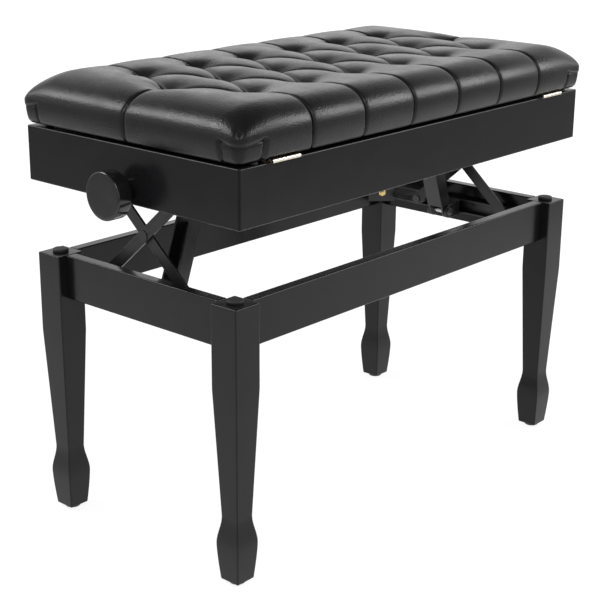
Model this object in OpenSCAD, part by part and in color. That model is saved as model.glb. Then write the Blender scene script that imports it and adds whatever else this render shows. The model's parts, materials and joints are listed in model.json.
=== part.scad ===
// Adjustable piano bench: a hinged tufted seat on a storage box, lifted from a
// four-legged base by two scissor frames, two drive links and a twin-knob spindle.
// X runs along the bench, Y across it, Z up from the floor. The rear (-Y) long
// side carries the lid hinges. The bench is drawn at its highest setting.

/* [Seat box] */
// Length of the seat box
box_l = 692; // [640:1:760]
// Width of the seat box
box_w = 362; // [350:1:400]
// Height of the seat box boards
box_h = 69; // [66:1:90]
// Thickness of the seat box boards
board_t = 15; // [12:0.5:18]
// Thickness of the storage panel
panel_t = 4.5; // [3:0.5:6]
// Height of the storage panel above the bottom edge of the box
panel_up = 36; // [36:0.5:42]
// Depth of the grooves that hold the storage panel
groove_d = 5; // [3:0.5:7]

/* [Base frame] */
// How far the box stands out over the legs at each end
over_end = 1; // [0:0.5:6]
// How far the box stands out over the legs at each long side
over_side = 8; // [4:0.5:12]
// Length of a leg without its glide
leg_h = 350; // [330:1:400]
// Side of the square upper leg
leg_sq = 40; // [36:0.5:46]
// Height of the aprons
apron_h = 57; // [50:1:70]
// Thickness of the aprons
apron_t = 15; // [12:0.5:18]
// Distance of the aprons behind the outer leg faces
apron_set = 12.5; // [8:0.5:14]
// Gap between the base and the seat box at the highest setting
box_gap = 92.5; // [80:0.5:95]
// Gap left over the leg bumpers at the lowest setting
stop_gap = 1; // [0.5:0.1:2]

/* [Spade feet] */
// Height at which the straight upper leg starts to taper
taper_z = 246; // [200:1:290]
// Side of the leg at its neck
neck_sq = 26.5; // [22:0.5:30]
// Height of the neck
neck_z = 84; // [75:1:100]
// Side of the leg at the widest part of the foot
spade_sq = 36; // [32:0.5:40]
// Height of the widest part of the foot
spade_z = 48; // [40:1:60]
// Side of the leg at its tip
tip_sq = 28.5; // [24:0.5:32]
// Diameter of a rubber glide
glide_d = 20; // [14:1:22]
// Height of a rubber glide
glide_h = 4; // [3:0.5:8]
// Diameter of the bumper on each leg top
bumper_d = 20; // [14:1:30]
// Height of the bumper on each leg top
bumper_h = 4.5; // [3:0.5:6]

/* [Seat] */
// Space between the box and the closed lid
lid_gap = 3; // [2.6:0.1:5]
// Thickness of the lid board
lid_t = 12; // [9:0.5:15]
// Inset of the lid board from the box edge
lid_in = 4; // [3:0.5:8]
// Thickness of the leather cover
cover_t = 1.6; // [1.2:0.1:3]
// Height of the upholstered seat at its crown
seat_h = 62.5; // [55:0.5:75]
// Height of the side wall of the seat
wall_h = 30; // [24:1:34]
// Width over which the top of the seat rises to its crown
shoulder_w = 45; // [38:1:52]
// Distance from an end of the box to the last tuft
tuft_from_end = 67; // [60:1:80]
// Distance from a long side of the box to the outer rows of tufts
row_from_side = 89; // [76:1:95]
// Depth of the creases between the tufted fields
field_depth = 9; // [4:0.5:12]
// Extra depth of a tuft
tuft_pull = 8; // [4:0.5:12]
// Reach of the dip around a tuft
pull_reach = 20; // [12:1:28]
// Radius of the corners of the lid board
board_corner_r = 12; // [8:1:24]
// How far the seat stands proud of the box at its ends
bulge_end = 4; // [2:0.5:8]
// How far the seat stands proud of the box at its long sides
bulge_side = 9; // [4:0.5:12]
// How far the upright corners of the seat draw in
corner_tuck = 5; // [0:0.5:7]
// Length of a lid hinge
hinge_len = 46; // [40:1:60]
// Distance from an end of the box to the middle of a lid hinge
hinge_from_end = 72; // [68:1:120]
// Radius of the hinge knuckles
knuckle_r = 2.5; // [2.2:0.1:3]
// Radius of a hinge pin
hinge_pin_r = 1.2; // [1:0.1:1.4]
// Width of a hinge leaf
leaf_w = 17; // [14:0.5:17.5]

/* [Scissor frames] */
// Width of a scissor arm
arm_w = 16; // [15:1:22]
// Thickness of a scissor arm
arm_t = 3.5; // [3:0.1:4]
// Radius of the scissor pivot pins
pin_r = 4; // [3:0.1:5]
// Gap between a lower track and the corner brackets
track_clear = 2; // [1:0.5:6]
// Length of track left beyond a roller or pin
track_end = 3; // [2:0.5:5]
// Height of the lower pivots above the bottom edge of the aprons
lower_pivot_up = 27; // [25:0.5:30]
// Height of the upper pivots above the bottom edge of the box
upper_pivot_up = 17.5; // [16:0.5:18]
// Diameter of a track roller
roller_d = 16.4; // [14:0.1:17]
// Length of a track roller
roller_l = 8; // [6:0.5:8.5]
// Thickness of the track steel
track_t = 2.5; // [2:0.1:3]
// Inner depth of a track
track_d = 10; // [9:0.5:11]
// Extra height of the upper track, which takes up the swing of the arms
swing_slack = 3.4; // [3.2:0.1:3.8]

/* [Spindle drive] */
// Height of the spindle above the bottom edge of the box
spindle_up = 15.5; // [14:0.5:16.5]
// Radius of the spindle
spindle_r = 7; // [6:0.1:8]
// Diameter of a knob
knob_d = 58; // [50:1:64]
// Thickness of a knob
knob_t = 22; // [18:1:36]
// Gap between a knob and the box
knob_gap = 16; // [6:0.5:20]
// Distance of a link pivot from the inner face of the short aprons
link_in_from = 38.5; // [38:0.5:50]
// Height of a link pivot above the bottom edge of the aprons
link_pivot_up = 23; // [20:0.5:24]
// Angle of a drive link at the highest setting
link_angle = 70; // [67:0.5:72]
// Width of a drive link
link_w = 20; // [18:0.5:21]
// Thickness of the drive link steel
link_t = 3; // [2:0.1:3]
// Radius of the link pins and nut trunnions
trunnion_r = 4; // [3.5:0.1:4.2]
// Length of the slot in a drive link
link_slot = 15.5; // [14.5:0.5:18]

/* [Fasteners] */
// Radius of the wood screws
screw_r = 2; // [1.5:0.1:2.5]
// Radius of the screw heads
screw_head_r = 4; // [3.5:0.1:4.5]
// Length of a track screw below its head
screw_len = 12; // [10:0.5:13]
// Radius of the hinge screws
hinge_screw_r = 1.5; // [1.2:0.1:1.8]
// Length of a hinge screw
hinge_screw_len = 9; // [7:0.5:10]
// Radius of the corner bolts
bolt_r = 3; // [2.5:0.5:4]
// Depth of a corner bolt in its leg
bolt_in = 22; // [18:1:26]
// Length of a corner bolt on the room side of its bracket
bolt_out = 12; // [9:0.5:14]
// Size of the corner nuts across their flats
nut_af = 10; // [9:0.5:13]
// Thickness of the corner bracket steel
bracket_t = 2; // [1.5:0.1:2.5]
// Height of a corner bracket
bracket_h = 30; // [24:1:36]
// Gap between a corner bracket and the edge of its leg
bracket_gap = 1.5; // [1:0.5:4]

/* [Fits] */
// Radial clearance of a pin or shaft in its hole
fit = 0.05; // [0.02:0.01:0.1]
// Clearance between sliding faces
slide = 0.3; // [0.2:0.05:0.5]

/* [Hidden] */
$fn = 64;

lacquer = [0.03, 0.03, 0.032];
steel_black = [0.12, 0.12, 0.13];
brass = [0.86, 0.72, 0.42];
zinc_yellow = [0.80, 0.68, 0.35];
rubber = [0.06, 0.06, 0.06];
leather = [0.10, 0.10, 0.11];
bare_wood = [0.72, 0.56, 0.38];
knob_black = [0.08, 0.08, 0.085];

end = 0.1;                              // how far a cut runs past the face it opens
base_l = box_l - 2 * over_end;
base_w = box_w - 2 * over_side;
base_top = glide_h + leg_h;
apron_z = base_top - apron_h;
apron_in_x = base_l / 2 - apron_set - apron_t;
apron_in_y = base_w / 2 - apron_set - apron_t;
leg_in_x = base_l / 2 - leg_sq;
leg_in_y = base_w / 2 - leg_sq;
leg_mid_x = base_l / 2 - leg_sq / 2;
leg_mid_y = base_w / 2 - leg_sq / 2;
box_z = base_top + box_gap;
box_top = box_z + box_h;
box_in_x = box_l / 2 - board_t;
box_in_y = box_w / 2 - board_t;
panel_z = box_z + panel_up;
lid_z = box_top + lid_gap;
lid_half_x = box_l / 2 - lid_in;
lid_half_y = box_w / 2 - lid_in;
lid_room = 0.9;                         // between the lid board and the cover round it
seat_corner_r = board_corner_r + lid_room + cover_t;
last_tuft = 6;                          // half steps from the middle to the last tuft
field_round = 0.46;                     // the lower, the fuller a field between its creases
pleat_round = 0.3;
pull_fall = 1.6;                        // how sharply the dip round a tuft ends
cuts = 3;                               // faces along half a tuft step and along a row gap
shoulder_cuts = 4;
corner_draw = 4;                        // the higher, the nearer to the corners the draw-in
wall_lean = 0.8;                        // the lower, the sooner the side wall leans out
wall_shares = [0.7, 0.35, 0];           // heights of the rings round the side wall
half_step = (box_l / 2 - tuft_from_end) / last_tuft;
row_gap = box_w / 2 - row_from_side;
pad_in = 30;                            // from an end of the box to a lid rest pad
pad_d = 10;

// Corner brackets: the diagonal face towards the leg is the line x + y = diag, and
// the face towards the room lies one thickness further in
bracket_z = apron_z + 9;
flange_screw_z = bracket_z + bracket_h / 2;
flange_screw_len = 9;
flange_screw_in = 6;                    // from the leg to a flange screw
flange_head_h = 1.5;
corner_nut_h = 5;
diag = leg_in_x + leg_in_y - bracket_gap * sqrt(2);
diag_room = diag - bracket_t * sqrt(2);

// Lower tracks fill the room between the corner brackets. The fixed pivot sits at one
// end, and at the lowest setting the roller is as far out at the other end.
run_y = diag_room - apron_in_x - track_clear;
pivot_y = run_y - track_end - roller_d / 2;

// Scissor frame: length and angle of the arms
travel = box_gap - bumper_h - stop_gap;
pivot_z = apron_z + lower_pivot_up;
upper_z = box_z + upper_pivot_up;
arm_rise = upper_z - pivot_z;
arm_len = norm([2 * pivot_y, arm_rise - travel]);
arm_angle = asin(arm_rise / arm_len);
slide_y = pivot_y - arm_len * cos(arm_angle);
cross_y = (pivot_y + slide_y) / 2;
cross_z = (pivot_z + upper_z) / 2;

// Stations across a scissor frame, counted inwards from the web of its track
track_x = apron_in_x;                   // outer face of the web
web_x = track_x - track_t;
front_x = web_x - track_d;              // open front of the track
plate_t = 2.5;
outer_arm_x = front_x - plate_t - 0.5;  // outer face of the outer arm
inner_arm_x = outer_arm_x - arm_t - 1;  // outer face of the inner arm
track_h = roller_d + 2 * slide;
track_low = pivot_z - track_h / 2 - track_t;
track_top = pivot_z + track_h / 2 + track_t;
cleat_t = box_in_x - track_x;
cleat_up = 5;                           // from the bottom edge of the box
cleat_end = 30;                         // length of a cleat beyond the fixed pivot
track_screw_in = 12;                    // from an end of an upper track to its screw
plate_screw_at = 15;                    // from an upper pivot to its bracket's screws
head_h = 1.6;                           // countersunk screw head

// Spindle drive
spindle_z = box_z + spindle_up;
link_at = apron_in_x - link_in_from;
link_z = apron_z + link_pivot_up;
link_len = (spindle_z - link_z) / sin(link_angle);
nut_at = link_at - link_len * cos(link_angle);
nut_l = 24;
nut_w = 18;
nut_h = 20;
link_in = nut_w / 2 + 1;                // inner face of a link cheek
ear_in = link_in + link_t + 1;          // inner face of a bracket ear
ear_t = 3;
bush_wall = 3;
bush_rim = 3;                           // how far the flange stands out over the bush
bush_r = spindle_r + bush_wall;
bush_flange_r = bush_r + bush_rim;
bush_flange_t = 2;
collar_wall = 5;
collar_r = spindle_r + collar_wall;
collar_l = 8;
knob_x = box_l / 2 + knob_gap;          // back of a knob
knob_edge = 3;
knob_cap = 8;                           // solid end of a knob past the spindle
hub_wall = 6;
hub_clear = 2;                          // between a knob's hub and the box
hub_r = spindle_r + hub_wall;
hub_l = knob_gap - hub_clear;
spindle_end = knob_x + knob_t - knob_cap;

// Lid hinges
hinge_at = box_l / 2 - hinge_from_end;
hinge_y = -(box_w / 2 + knuckle_r + 0.1);
hinge_z = box_top + lid_gap / 2;
leaf_t = 1;
third = hinge_len / 3;
hinge_head_r = hinge_screw_r + 1.3;
hinge_screw_y = -(box_w / 2 - lid_in - 4.5);

module at_corners(dx, dy) {
    for (sx = [-1, 1], sy = [-1, 1]) translate([sx * dx, sy * dy, 0]) children();
}

// The left end as drawn, or the same thing turned half round for the right end
module at_end(right) {
    rotate([0, 0, right ? 180 : 0]) children();
}

module mirror_corner(sx, sy) {
    mirror([sx < 0 ? 1 : 0, 0, 0]) mirror([0, sy < 0 ? 1 : 0, 0]) children();
}

module along_x(r, x0, x1) {
    translate([x0, 0, 0]) rotate([0, 90, 0]) cylinder(r = r, h = x1 - x0);
}

module along_y(r, y0, y1) {
    translate([0, y1, 0]) rotate([90, 0, 0]) cylinder(r = r, h = y1 - y0);
}

// ---------- legs ----------

// Half width of a leg at height z: spade foot, neck, straight taper, square top
function ease(t) = (1 - cos(180 * t)) / 2;
function leg_half(z) =
    z < spade_z ? (spade_sq - (spade_sq - tip_sq) * pow(1 - z / spade_z, 1.4)) / 2 :
    z < neck_z ? (spade_sq + (neck_sq - spade_sq) * ease((z - spade_z) / (neck_z - spade_z))) / 2 :
    z < taper_z ? (neck_sq + (leg_sq - neck_sq) * (z - neck_z) / (taper_z - neck_z)) / 2 :
    leg_sq / 2;
leg_levels = concat(
    [for (i = [0:6]) spade_z * i / 6],
    [for (i = [1:8]) spade_z + (neck_z - spade_z) * i / 8],
    [taper_z, leg_h]);

module leg_outline() {
    last = len(leg_levels) - 1;
    polygon(concat(
        [for (i = [0:last]) [leg_half(leg_levels[i]), leg_levels[i]]],
        [for (i = [last:-1:0]) [-leg_half(leg_levels[i]), leg_levels[i]]]));
}

module leg_profile_slab() {
    rotate([90, 0, 0]) linear_extrude(height = leg_sq + 2, center = true) leg_outline();
}

// Leg of the corner (sx, sy), square in plan, with a bore for its corner bolt
module leg(sx, sy) {
    color(lacquer) difference() {
        translate([sx * leg_mid_x, sy * leg_mid_y, glide_h]) intersection() {
            leg_profile_slab();
            rotate([0, 0, 90]) leg_profile_slab();
        }
        mirror_corner(sx, sy) corner_axis() along_x(bolt_r + fit, 0, bolt_in + end);
    }
}

module foot_glides() {
    color(rubber) at_corners(leg_mid_x, leg_mid_y)
        rotate_extrude() polygon([
            [0, 0], [glide_d / 2 - 1, 0], [glide_d / 2, 1],
            [glide_d / 2, glide_h], [0, glide_h]]);
}

module leg_top_bumpers() {
    color(rubber) at_corners(leg_mid_x, leg_mid_y)
        translate([0, 0, base_top]) rotate_extrude() polygon([
            [0, 0], [bumper_d / 2, 0], [bumper_d / 2, bumper_h - 1],
            [bumper_d / 2 - 1, bumper_h], [0, bumper_h]]);
}

// ---------- aprons ----------

module long_apron(sy) {
    color(lacquer) difference() {
        translate([-leg_in_x, sy > 0 ? apron_in_y : -apron_in_y - apron_t, apron_z])
            cube([2 * leg_in_x, apron_t, apron_h]);
        for (sx = [-1, 1]) mirror_corner(sx, sy) long_flange_screw(screw_r + fit);
    }
}

module short_apron(right) {
    color(lacquer) difference() {
        at_end(right) translate([-apron_in_x - apron_t, -leg_in_y, apron_z])
            cube([apron_t, 2 * leg_in_y, apron_h]);
        at_end(right) lower_screw_places() along_x(screw_r + fit, -screw_len - end, end);
        for (sy = [-1, 1]) mirror_corner(right ? 1 : -1, sy)
            short_flange_screw(screw_r + fit);
    }
}

// ---------- corner brackets: bent plate, hanger bolt and nut in each corner ----------

// Origin at the bracket face, +X pointing along the bolt into the leg
module corner_axis() {
    translate([diag / 2 + (leg_in_x - leg_in_y) / 2, diag / 2 - (leg_in_x - leg_in_y) / 2,
               flange_screw_z])
        rotate([0, 0, 45]) children();
}

module short_flange_screw(r) {
    translate([apron_in_x, leg_in_y - flange_screw_in, flange_screw_z])
        along_x(r, -bracket_t - end, flange_screw_len);
}

module long_flange_screw(r) {
    translate([leg_in_x - flange_screw_in, apron_in_y, flange_screw_z])
        along_y(r, -bracket_t - end, flange_screw_len);
}

module corner_bracket() {
    difference() {
        translate([0, 0, bracket_z]) linear_extrude(height = bracket_h) polygon([
            [apron_in_x, leg_in_y - 1],
            [apron_in_x - bracket_t, leg_in_y - 1],
            [apron_in_x - bracket_t, diag - apron_in_x + bracket_t],
            [diag - apron_in_y + bracket_t, apron_in_y - bracket_t],
            [leg_in_x - 1, apron_in_y - bracket_t],
            [leg_in_x - 1, apron_in_y],
            [diag_room - apron_in_y, apron_in_y],
            [apron_in_x, diag_room - apron_in_x]]);
        corner_axis() along_x(bolt_r + fit, -bracket_t - end, end);
        short_flange_screw(screw_r + fit);
        long_flange_screw(screw_r + fit);
    }
}

module corner_brackets() {
    color(steel_black) for (sx = [-1, 1], sy = [-1, 1]) mirror_corner(sx, sy) corner_bracket();
}

module corner_bolts() {
    color(zinc_yellow) for (sx = [-1, 1], sy = [-1, 1]) mirror_corner(sx, sy)
        corner_axis() along_x(bolt_r, -bracket_t - bolt_out, bolt_in);
}

module corner_nuts() {
    color(zinc_yellow) for (sx = [-1, 1], sy = [-1, 1]) mirror_corner(sx, sy)
        corner_axis() difference() {
            translate([-bracket_t - corner_nut_h, 0, 0]) rotate([0, 90, 0])
                cylinder(d = nut_af / cos(30), h = corner_nut_h, $fn = 6);
            along_x(bolt_r + fit, -bracket_t - corner_nut_h - end, -bracket_t + end);
        }
}

module corner_bracket_screws() {
    color(steel_black) for (sx = [-1, 1], sy = [-1, 1]) mirror_corner(sx, sy) {
        translate([apron_in_x - bracket_t, leg_in_y - flange_screw_in, flange_screw_z]) {
            along_x(screw_r, 0, flange_screw_len);
            along_x(screw_head_r - 0.5, -flange_head_h, 0);
        }
        translate([leg_in_x - flange_screw_in, apron_in_y - bracket_t, flange_screw_z]) {
            along_y(screw_r, 0, flange_screw_len);
            along_y(screw_head_r - 0.5, -flange_head_h, 0);
        }
    }
}

// ---------- tracks, pivot pins and brackets of the scissor frames ----------

// C-section open towards the middle of the bench, from y0 to y1 at the left end
module track_section(y0, y1, z_mid, extra) {
    h = track_h + extra;
    translate([-track_x, y0, z_mid - track_h / 2]) {
        cube([track_t, y1 - y0, h]);
        for (z = [-track_t, h]) translate([0, 0, z]) cube([track_t + track_d, y1 - y0, track_t]);
    }
}

// Screw through a track into the wood behind it, with its head flush in the web
module track_screw() {
    along_x(screw_r, -screw_len, track_t - head_h);
    along_x(screw_head_r, track_t - head_h, track_t);
}

module track_screw_hole() {
    along_x(screw_r + fit, -end, track_t);
    along_x(screw_head_r + fit, track_t - head_h, track_t + end);
}

module lower_screw_places() {
    for (share = [-0.88, -0.34, 0.34, 0.72])
        translate([-track_x, share * pivot_y, pivot_z]) children();
}

module lower_track(right) {
    color(steel_black) at_end(right) difference() {
        track_section(-run_y, run_y, pivot_z, 0);
        lower_screw_places() track_screw_hole();
        translate([-track_x, pivot_y, pivot_z]) along_x(pin_r + fit, -end, track_t + end);
    }
}

module lower_track_screws() {
    color(steel_black) for (right = [false, true]) at_end(right)
        lower_screw_places() track_screw();
}

// Shoulder pin from the web through the outer arm, with a head that keeps the arm on
module lower_pivot_pins() {
    arm_face = -(outer_arm_x - arm_t);
    color(steel_black) for (right = [false, true]) at_end(right)
        translate([0, pivot_y, pivot_z]) {
            along_x(pin_r, -track_x, arm_face + slide);
            along_x(pin_r + 3, -web_x, -outer_arm_x - slide);
            along_x(pin_r + 2, arm_face + slide, arm_face + slide + 0.5);
        }
}

module link_brackets() {
    color(steel_black) for (right = [false, true]) at_end(right) difference() {
        union() {
            translate([-front_x, -ear_in - ear_t, track_low])
                cube([plate_t, 2 * (ear_in + ear_t), track_top - track_low]);
            for (y = [-ear_in - ear_t, ear_in]) {
                translate([-front_x, y, link_z - link_w / 2])
                    cube([front_x - link_at, ear_t, link_w]);
                translate([-link_at, y, link_z]) along_y(link_w / 2, 0, ear_t);
            }
        }
        translate([-link_at, 0, link_z])
            along_y(trunnion_r + fit, -ear_in - ear_t - end, ear_in + ear_t + end);
    }
}

module link_pivot_pins() {
    out = ear_in + ear_t;
    color(steel_black) for (right = [false, true]) at_end(right)
        translate([-link_at, 0, link_z]) {
            along_y(trunnion_r, -out - 1, out + 1);
            along_y(trunnion_r + 2, out + 0.1, out + 2);
            along_y(trunnion_r + 2, -out - 2, -out - 0.1);
        }
}

// ---------- seat box ----------

module panel_plan(grow) {
    translate([-box_in_x - groove_d - grow, -box_in_y - groove_d - grow, panel_z - grow])
        cube([2 * (box_in_x + groove_d + grow), 2 * (box_in_y + groove_d + grow),
              panel_t + 2 * grow]);
}

// Mitred board along +X at the side y = outer, from the outer length to the inner one
module mitred_board(outer_len, outer_y) {
    translate([0, 0, box_z]) linear_extrude(height = box_h) polygon([
        [-outer_len / 2, outer_y], [outer_len / 2, outer_y],
        [outer_len / 2 - board_t, outer_y - board_t],
        [-outer_len / 2 + board_t, outer_y - board_t]]);
}

module box_long_board(sy) {
    color(lacquer) difference() {
        mirror([0, sy < 0 ? 1 : 0, 0]) mitred_board(box_l, box_w / 2);
        panel_plan(slide / 2);
        hinge_screw_places(false) hinge_screw(fit);
    }
}

module box_end_board(right) {
    color(lacquer) difference() {
        at_end(right) rotate([0, 0, 90]) mitred_board(box_w, box_l / 2);
        panel_plan(slide / 2);
        at_end(right) translate([0, 0, spindle_z])
            along_x(bush_r + fit, -box_l / 2 - end, -box_in_x + end);
    }
}

module storage_panel() {
    color(bare_wood) panel_plan(0);
}

// Wooden cleat under each end of the panel, which carries the upper track
module end_cleats() {
    half = pivot_y + cleat_end;
    color(lacquer) for (right = [false, true]) at_end(right) difference() {
        translate([-box_in_x, -half, box_z + cleat_up])
            cube([cleat_t, 2 * half, panel_up - cleat_up]);
        translate([0, 0, spindle_z]) along_x(bush_r + fit, -box_in_x - end, -track_x + end);
        upper_screw_places() along_x(screw_r + fit, -cleat_t - end, end);
    }
}

upper_run = [-pivot_y - roller_d / 2 - track_end, slide_y + roller_d / 2 + track_end];
upper_plate_w = 44;
upper_plate_h = 26;

module upper_screw_places() {
    for (y = [upper_run[0] + track_screw_in, upper_run[1] - track_screw_in,
              pivot_y - plate_screw_at, pivot_y + plate_screw_at])
        translate([-track_x, y, upper_z]) children();
}

module upper_track(right) {
    color(steel_black) at_end(right) difference() {
        track_section(upper_run[0], upper_run[1], upper_z, swing_slack);
        upper_screw_places() track_screw_hole();
    }
}

// Plate with a short upright slot for the top pin of the inner arm
module upper_pivot_brackets() {
    slot_r = pin_r + slide;
    color(steel_black) for (right = [false, true]) at_end(right) difference() {
        translate([-track_x, pivot_y - upper_plate_w / 2, upper_z - upper_plate_h / 2 + 2])
            cube([track_t, upper_plate_w, upper_plate_h]);
        upper_screw_places() track_screw_hole();
        for (dz = [0, swing_slack]) translate([-track_x, pivot_y, upper_z + dz])
            along_x(slot_r, -end, track_t + end);
        translate([-track_x - end, pivot_y - slot_r, upper_z])
            cube([track_t + 2 * end, 2 * slot_r, swing_slack]);
    }
}

module upper_track_screws() {
    color(steel_black) for (right = [false, true]) at_end(right)
        upper_screw_places() intersection() {
            track_screw();
            along_x(screw_head_r + end, -cleat_t, track_t + end);
        }
}

// Flanged bush through each box end and cleat
module spindle_bushes() {
    color(brass) for (right = [false, true]) at_end(right) translate([0, 0, spindle_z])
        difference() {
            union() {
                along_x(bush_r, -box_l / 2, -track_x);
                along_x(bush_flange_r, -track_x, -track_x + bush_flange_t);
            }
            along_x(spindle_r + fit, -box_l / 2 - end, -track_x + bush_flange_t + end);
        }
}

// Pads on the box rim that carry the closed lid
module lid_rest_pads() {
    color(rubber) at_corners(box_l / 2 - pad_in, box_w / 2 - board_t / 2)
        translate([0, 0, box_top]) cylinder(d = pad_d, h = lid_gap - slide);
}

// ---------- lid hinges ----------

// Three screws in each leaf; the flag tells the lid's leaves from the box's
module hinge_screw_places(lid) {
    z = lid ? box_top + lid_gap - leaf_t : box_top + leaf_t;
    for (s = [-1, 1], i = [-1, 0, 1])
        translate([s * hinge_at + i * third, hinge_screw_y, z])
            mirror([0, 0, lid ? 0 : 1]) children();
}

module hinge_screw(grow) {
    cylinder(r = hinge_head_r + grow, h = leaf_t);
    cylinder(r = hinge_screw_r + grow, h = leaf_t + hinge_screw_len + 2 * grow);
}

// One leaf with its knuckles: the outer two for the box, the middle one for the lid
module hinge_leaf(lid) {
    leaf_z = lid ? box_top + lid_gap - leaf_t : box_top;
    clear = knuckle_r + 0.4;
    difference() {
        union() {
            translate([-hinge_len / 2, hinge_y, leaf_z])
                cube([hinge_len, leaf_w, leaf_t]);
            for (i = lid ? [0] : [-1, 1])
                translate([i * third, hinge_y, hinge_z])
                    along_x(knuckle_r, -third / 2 + 0.15, third / 2 - 0.15);
        }
        for (i = lid ? [-1, 1] : [0])
            translate([(i - 0.5) * third - 0.15, hinge_y - clear, box_top - 2])
                cube([third + 0.3, 2 * clear, lid_gap + 4]);
        translate([0, hinge_y, hinge_z])
            along_x(hinge_pin_r + fit, -hinge_len / 2 - end, hinge_len / 2 + end);
    }
}

module hinge_leaves(lid) {
    color(brass) difference() {
        for (s = [-1, 1]) translate([s * hinge_at, 0, 0]) hinge_leaf(lid);
        hinge_screw_places(lid) translate([0, 0, -end])
            cylinder(r = hinge_head_r + fit, h = leaf_t + 2 * end);
    }
}

module hinge_screws(lid) {
    color(brass) hinge_screw_places(lid) hinge_screw(0);
}

module hinge_pins() {
    color(brass) for (s = [-1, 1]) translate([s * hinge_at, hinge_y, hinge_z])
        along_x(hinge_pin_r, -hinge_len / 2 + 0.2, hinge_len / 2 - 0.2);
}

// ---------- upholstered lid ----------

module lid_board() {
    corner_x = lid_half_x - board_corner_r;
    corner_y = lid_half_y - board_corner_r;
    color(bare_wood) difference() {
        translate([0, 0, lid_z]) linear_extrude(height = lid_t) {
            square([2 * lid_half_x, 2 * corner_y], center = true);
            square([2 * corner_x, 2 * lid_half_y], center = true);
            for (sx = [-1, 1], sy = [-1, 1])
                translate([sx * corner_x, sy * corner_y]) circle(r = board_corner_r);
        }
        hinge_screw_places(true) hinge_screw(fit);
    }
}

// Shoulder of the top face: it rises over the width of the shoulder from both edges,
// so it droops towards the corners
function rise(d) = sqrt(1 - pow(1 - min(d / shoulder_w, 1), 2));

// Diamond tufting. A point has the place (a, b): a counts half tuft steps along the
// seat and b counts row gaps across it. Tufts lie where a + b is even, in three rows
// that end at a = 6, 5 and 6. The field is nought on every crease and one in the middle
// of every padded field. Past the outer rows and past the last tuft the creases run
// straight to the edges, because b stays at one and a stays at the last tuft.
function field(a, b) =
    abs(cos(180 * min(abs(b), 1)) - cos(180 * min(abs(a), last_tuft))) / 2;
function puff(a, b) = pow(field(a, b), abs(b) > 1 || abs(a) > last_tuft ? pleat_round : field_round);
function to_row(a, odd, last) =
    a - max(-last, min(last, 2 * round((a - odd) / 2) + odd));
function tuft_away(a, b) = min(
    norm([to_row(a, 0, last_tuft) * half_step, b * row_gap]),
    norm([to_row(a, 1, last_tuft - 1) * half_step, (abs(b) - 1) * row_gap]));
function relief(x, y) =
    let (a = x / half_step, b = y / row_gap)
    field_depth * (1 - puff(a, b))
    + tuft_pull * exp(-pow(tuft_away(a, b) / pull_reach, pull_fall));

function seat_z(x, y, dx, dy) =
    let (up = rise(dx) * rise(dy))
    wall_h + (seat_h - wall_h) * up - relief(x, y) * up * up;

// Grid lines of the top face: the lattice of the tufts, and lines down the shoulders
lattice = [for (i = [-cuts * last_tuft:cuts * last_tuft]) i / cuts * half_step];
cross_lattice = [for (i = [-cuts:cuts]) i / cuts * row_gap];
shoulder_steps = [for (turn = [0:90 / shoulder_cuts:90]) shoulder_w * (1 - cos(turn))];
function grid_lines(half, inner) = concat(
    [for (d = shoulder_steps) d - half],
    inner,
    [for (i = [len(shoulder_steps) - 1:-1:0]) half - shoulder_steps[i]]);
nx = len(lattice) + 2 * len(shoulder_steps);
ny = len(cross_lattice) + 2 * len(shoulder_steps);
function at(i, j) = j * nx + i;

// Places of the rim in the grid, once round
rim = concat(
    [for (i = [0:nx - 2]) [i, 0]],
    [for (j = [0:ny - 2]) [nx - 1, j]],
    [for (i = [nx - 1:-1:1]) [i, ny - 1]],
    [for (j = [ny - 1:-1:1]) [0, j]]);

// Rounds the corner of a rectangle in plan: a point past both corner starts is pulled
// along its ray onto the arc
function round_corner(x, y, half_x, half_y, r) =
    let (s = (abs(x) - half_x + r) / r, t = (abs(y) - half_y + r) / r)
    s <= 0 || t <= 0 ? [x, y] :
    let (k = max(s, t) / norm([s, t]))
    [sign(x) * (half_x - r + s * k * r), sign(y) * (half_y - r + t * k * r)];

// A point of the seat in plan: the long sides bow out, so the corners draw in
function seat_plan(x, y, half_x, half_y, tuck, r) =
    let (p = round_corner(x, y, half_x, half_y, r))
    [p[0], p[1] * (1 - tuck / half_y * pow(p[0] / half_x, corner_draw))];

// The skin of the seat, made smaller all round by t
function skin_x(t) = box_l / 2 + bulge_end - t;
function skin_y(t) = box_w / 2 + bulge_side - t;
function skin_top(t) =
    let (xs = grid_lines(skin_x(t), lattice), ys = grid_lines(skin_y(t), cross_lattice))
    [for (y = ys) for (x = xs)
        let (p = seat_plan(x, y, skin_x(t), skin_y(t), corner_tuck, seat_corner_r - t))
        [p[0], p[1], lid_z - t + seat_z(x, y, skin_x(t) - abs(x), skin_y(t) - abs(y))]];

// Ring of the side wall at a height over the lid's lower face: the wall leans out from
// the lid board to the rim
function wall_ring(t, height) =
    let (out = height > 0 ? pow(sin(90 * min(height / (wall_h - t), 1)), wall_lean) : 0,
         foot_x = lid_half_x + lid_room + cover_t - t,
         foot_y = lid_half_y + lid_room + cover_t - t,
         wide_x = foot_x + (skin_x(t) - foot_x) * out,
         wide_y = foot_y + (skin_y(t) - foot_y) * out,
         xs = grid_lines(skin_x(t), lattice) / skin_x(t),
         ys = grid_lines(skin_y(t), cross_lattice) / skin_y(t))
    [for (r = rim)
        let (p = seat_plan(xs[r[0]] * wide_x, ys[r[1]] * wide_y,
                           wide_x, wide_y, corner_tuck * out, seat_corner_r - t))
        [p[0], p[1], lid_z + height]];

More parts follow.
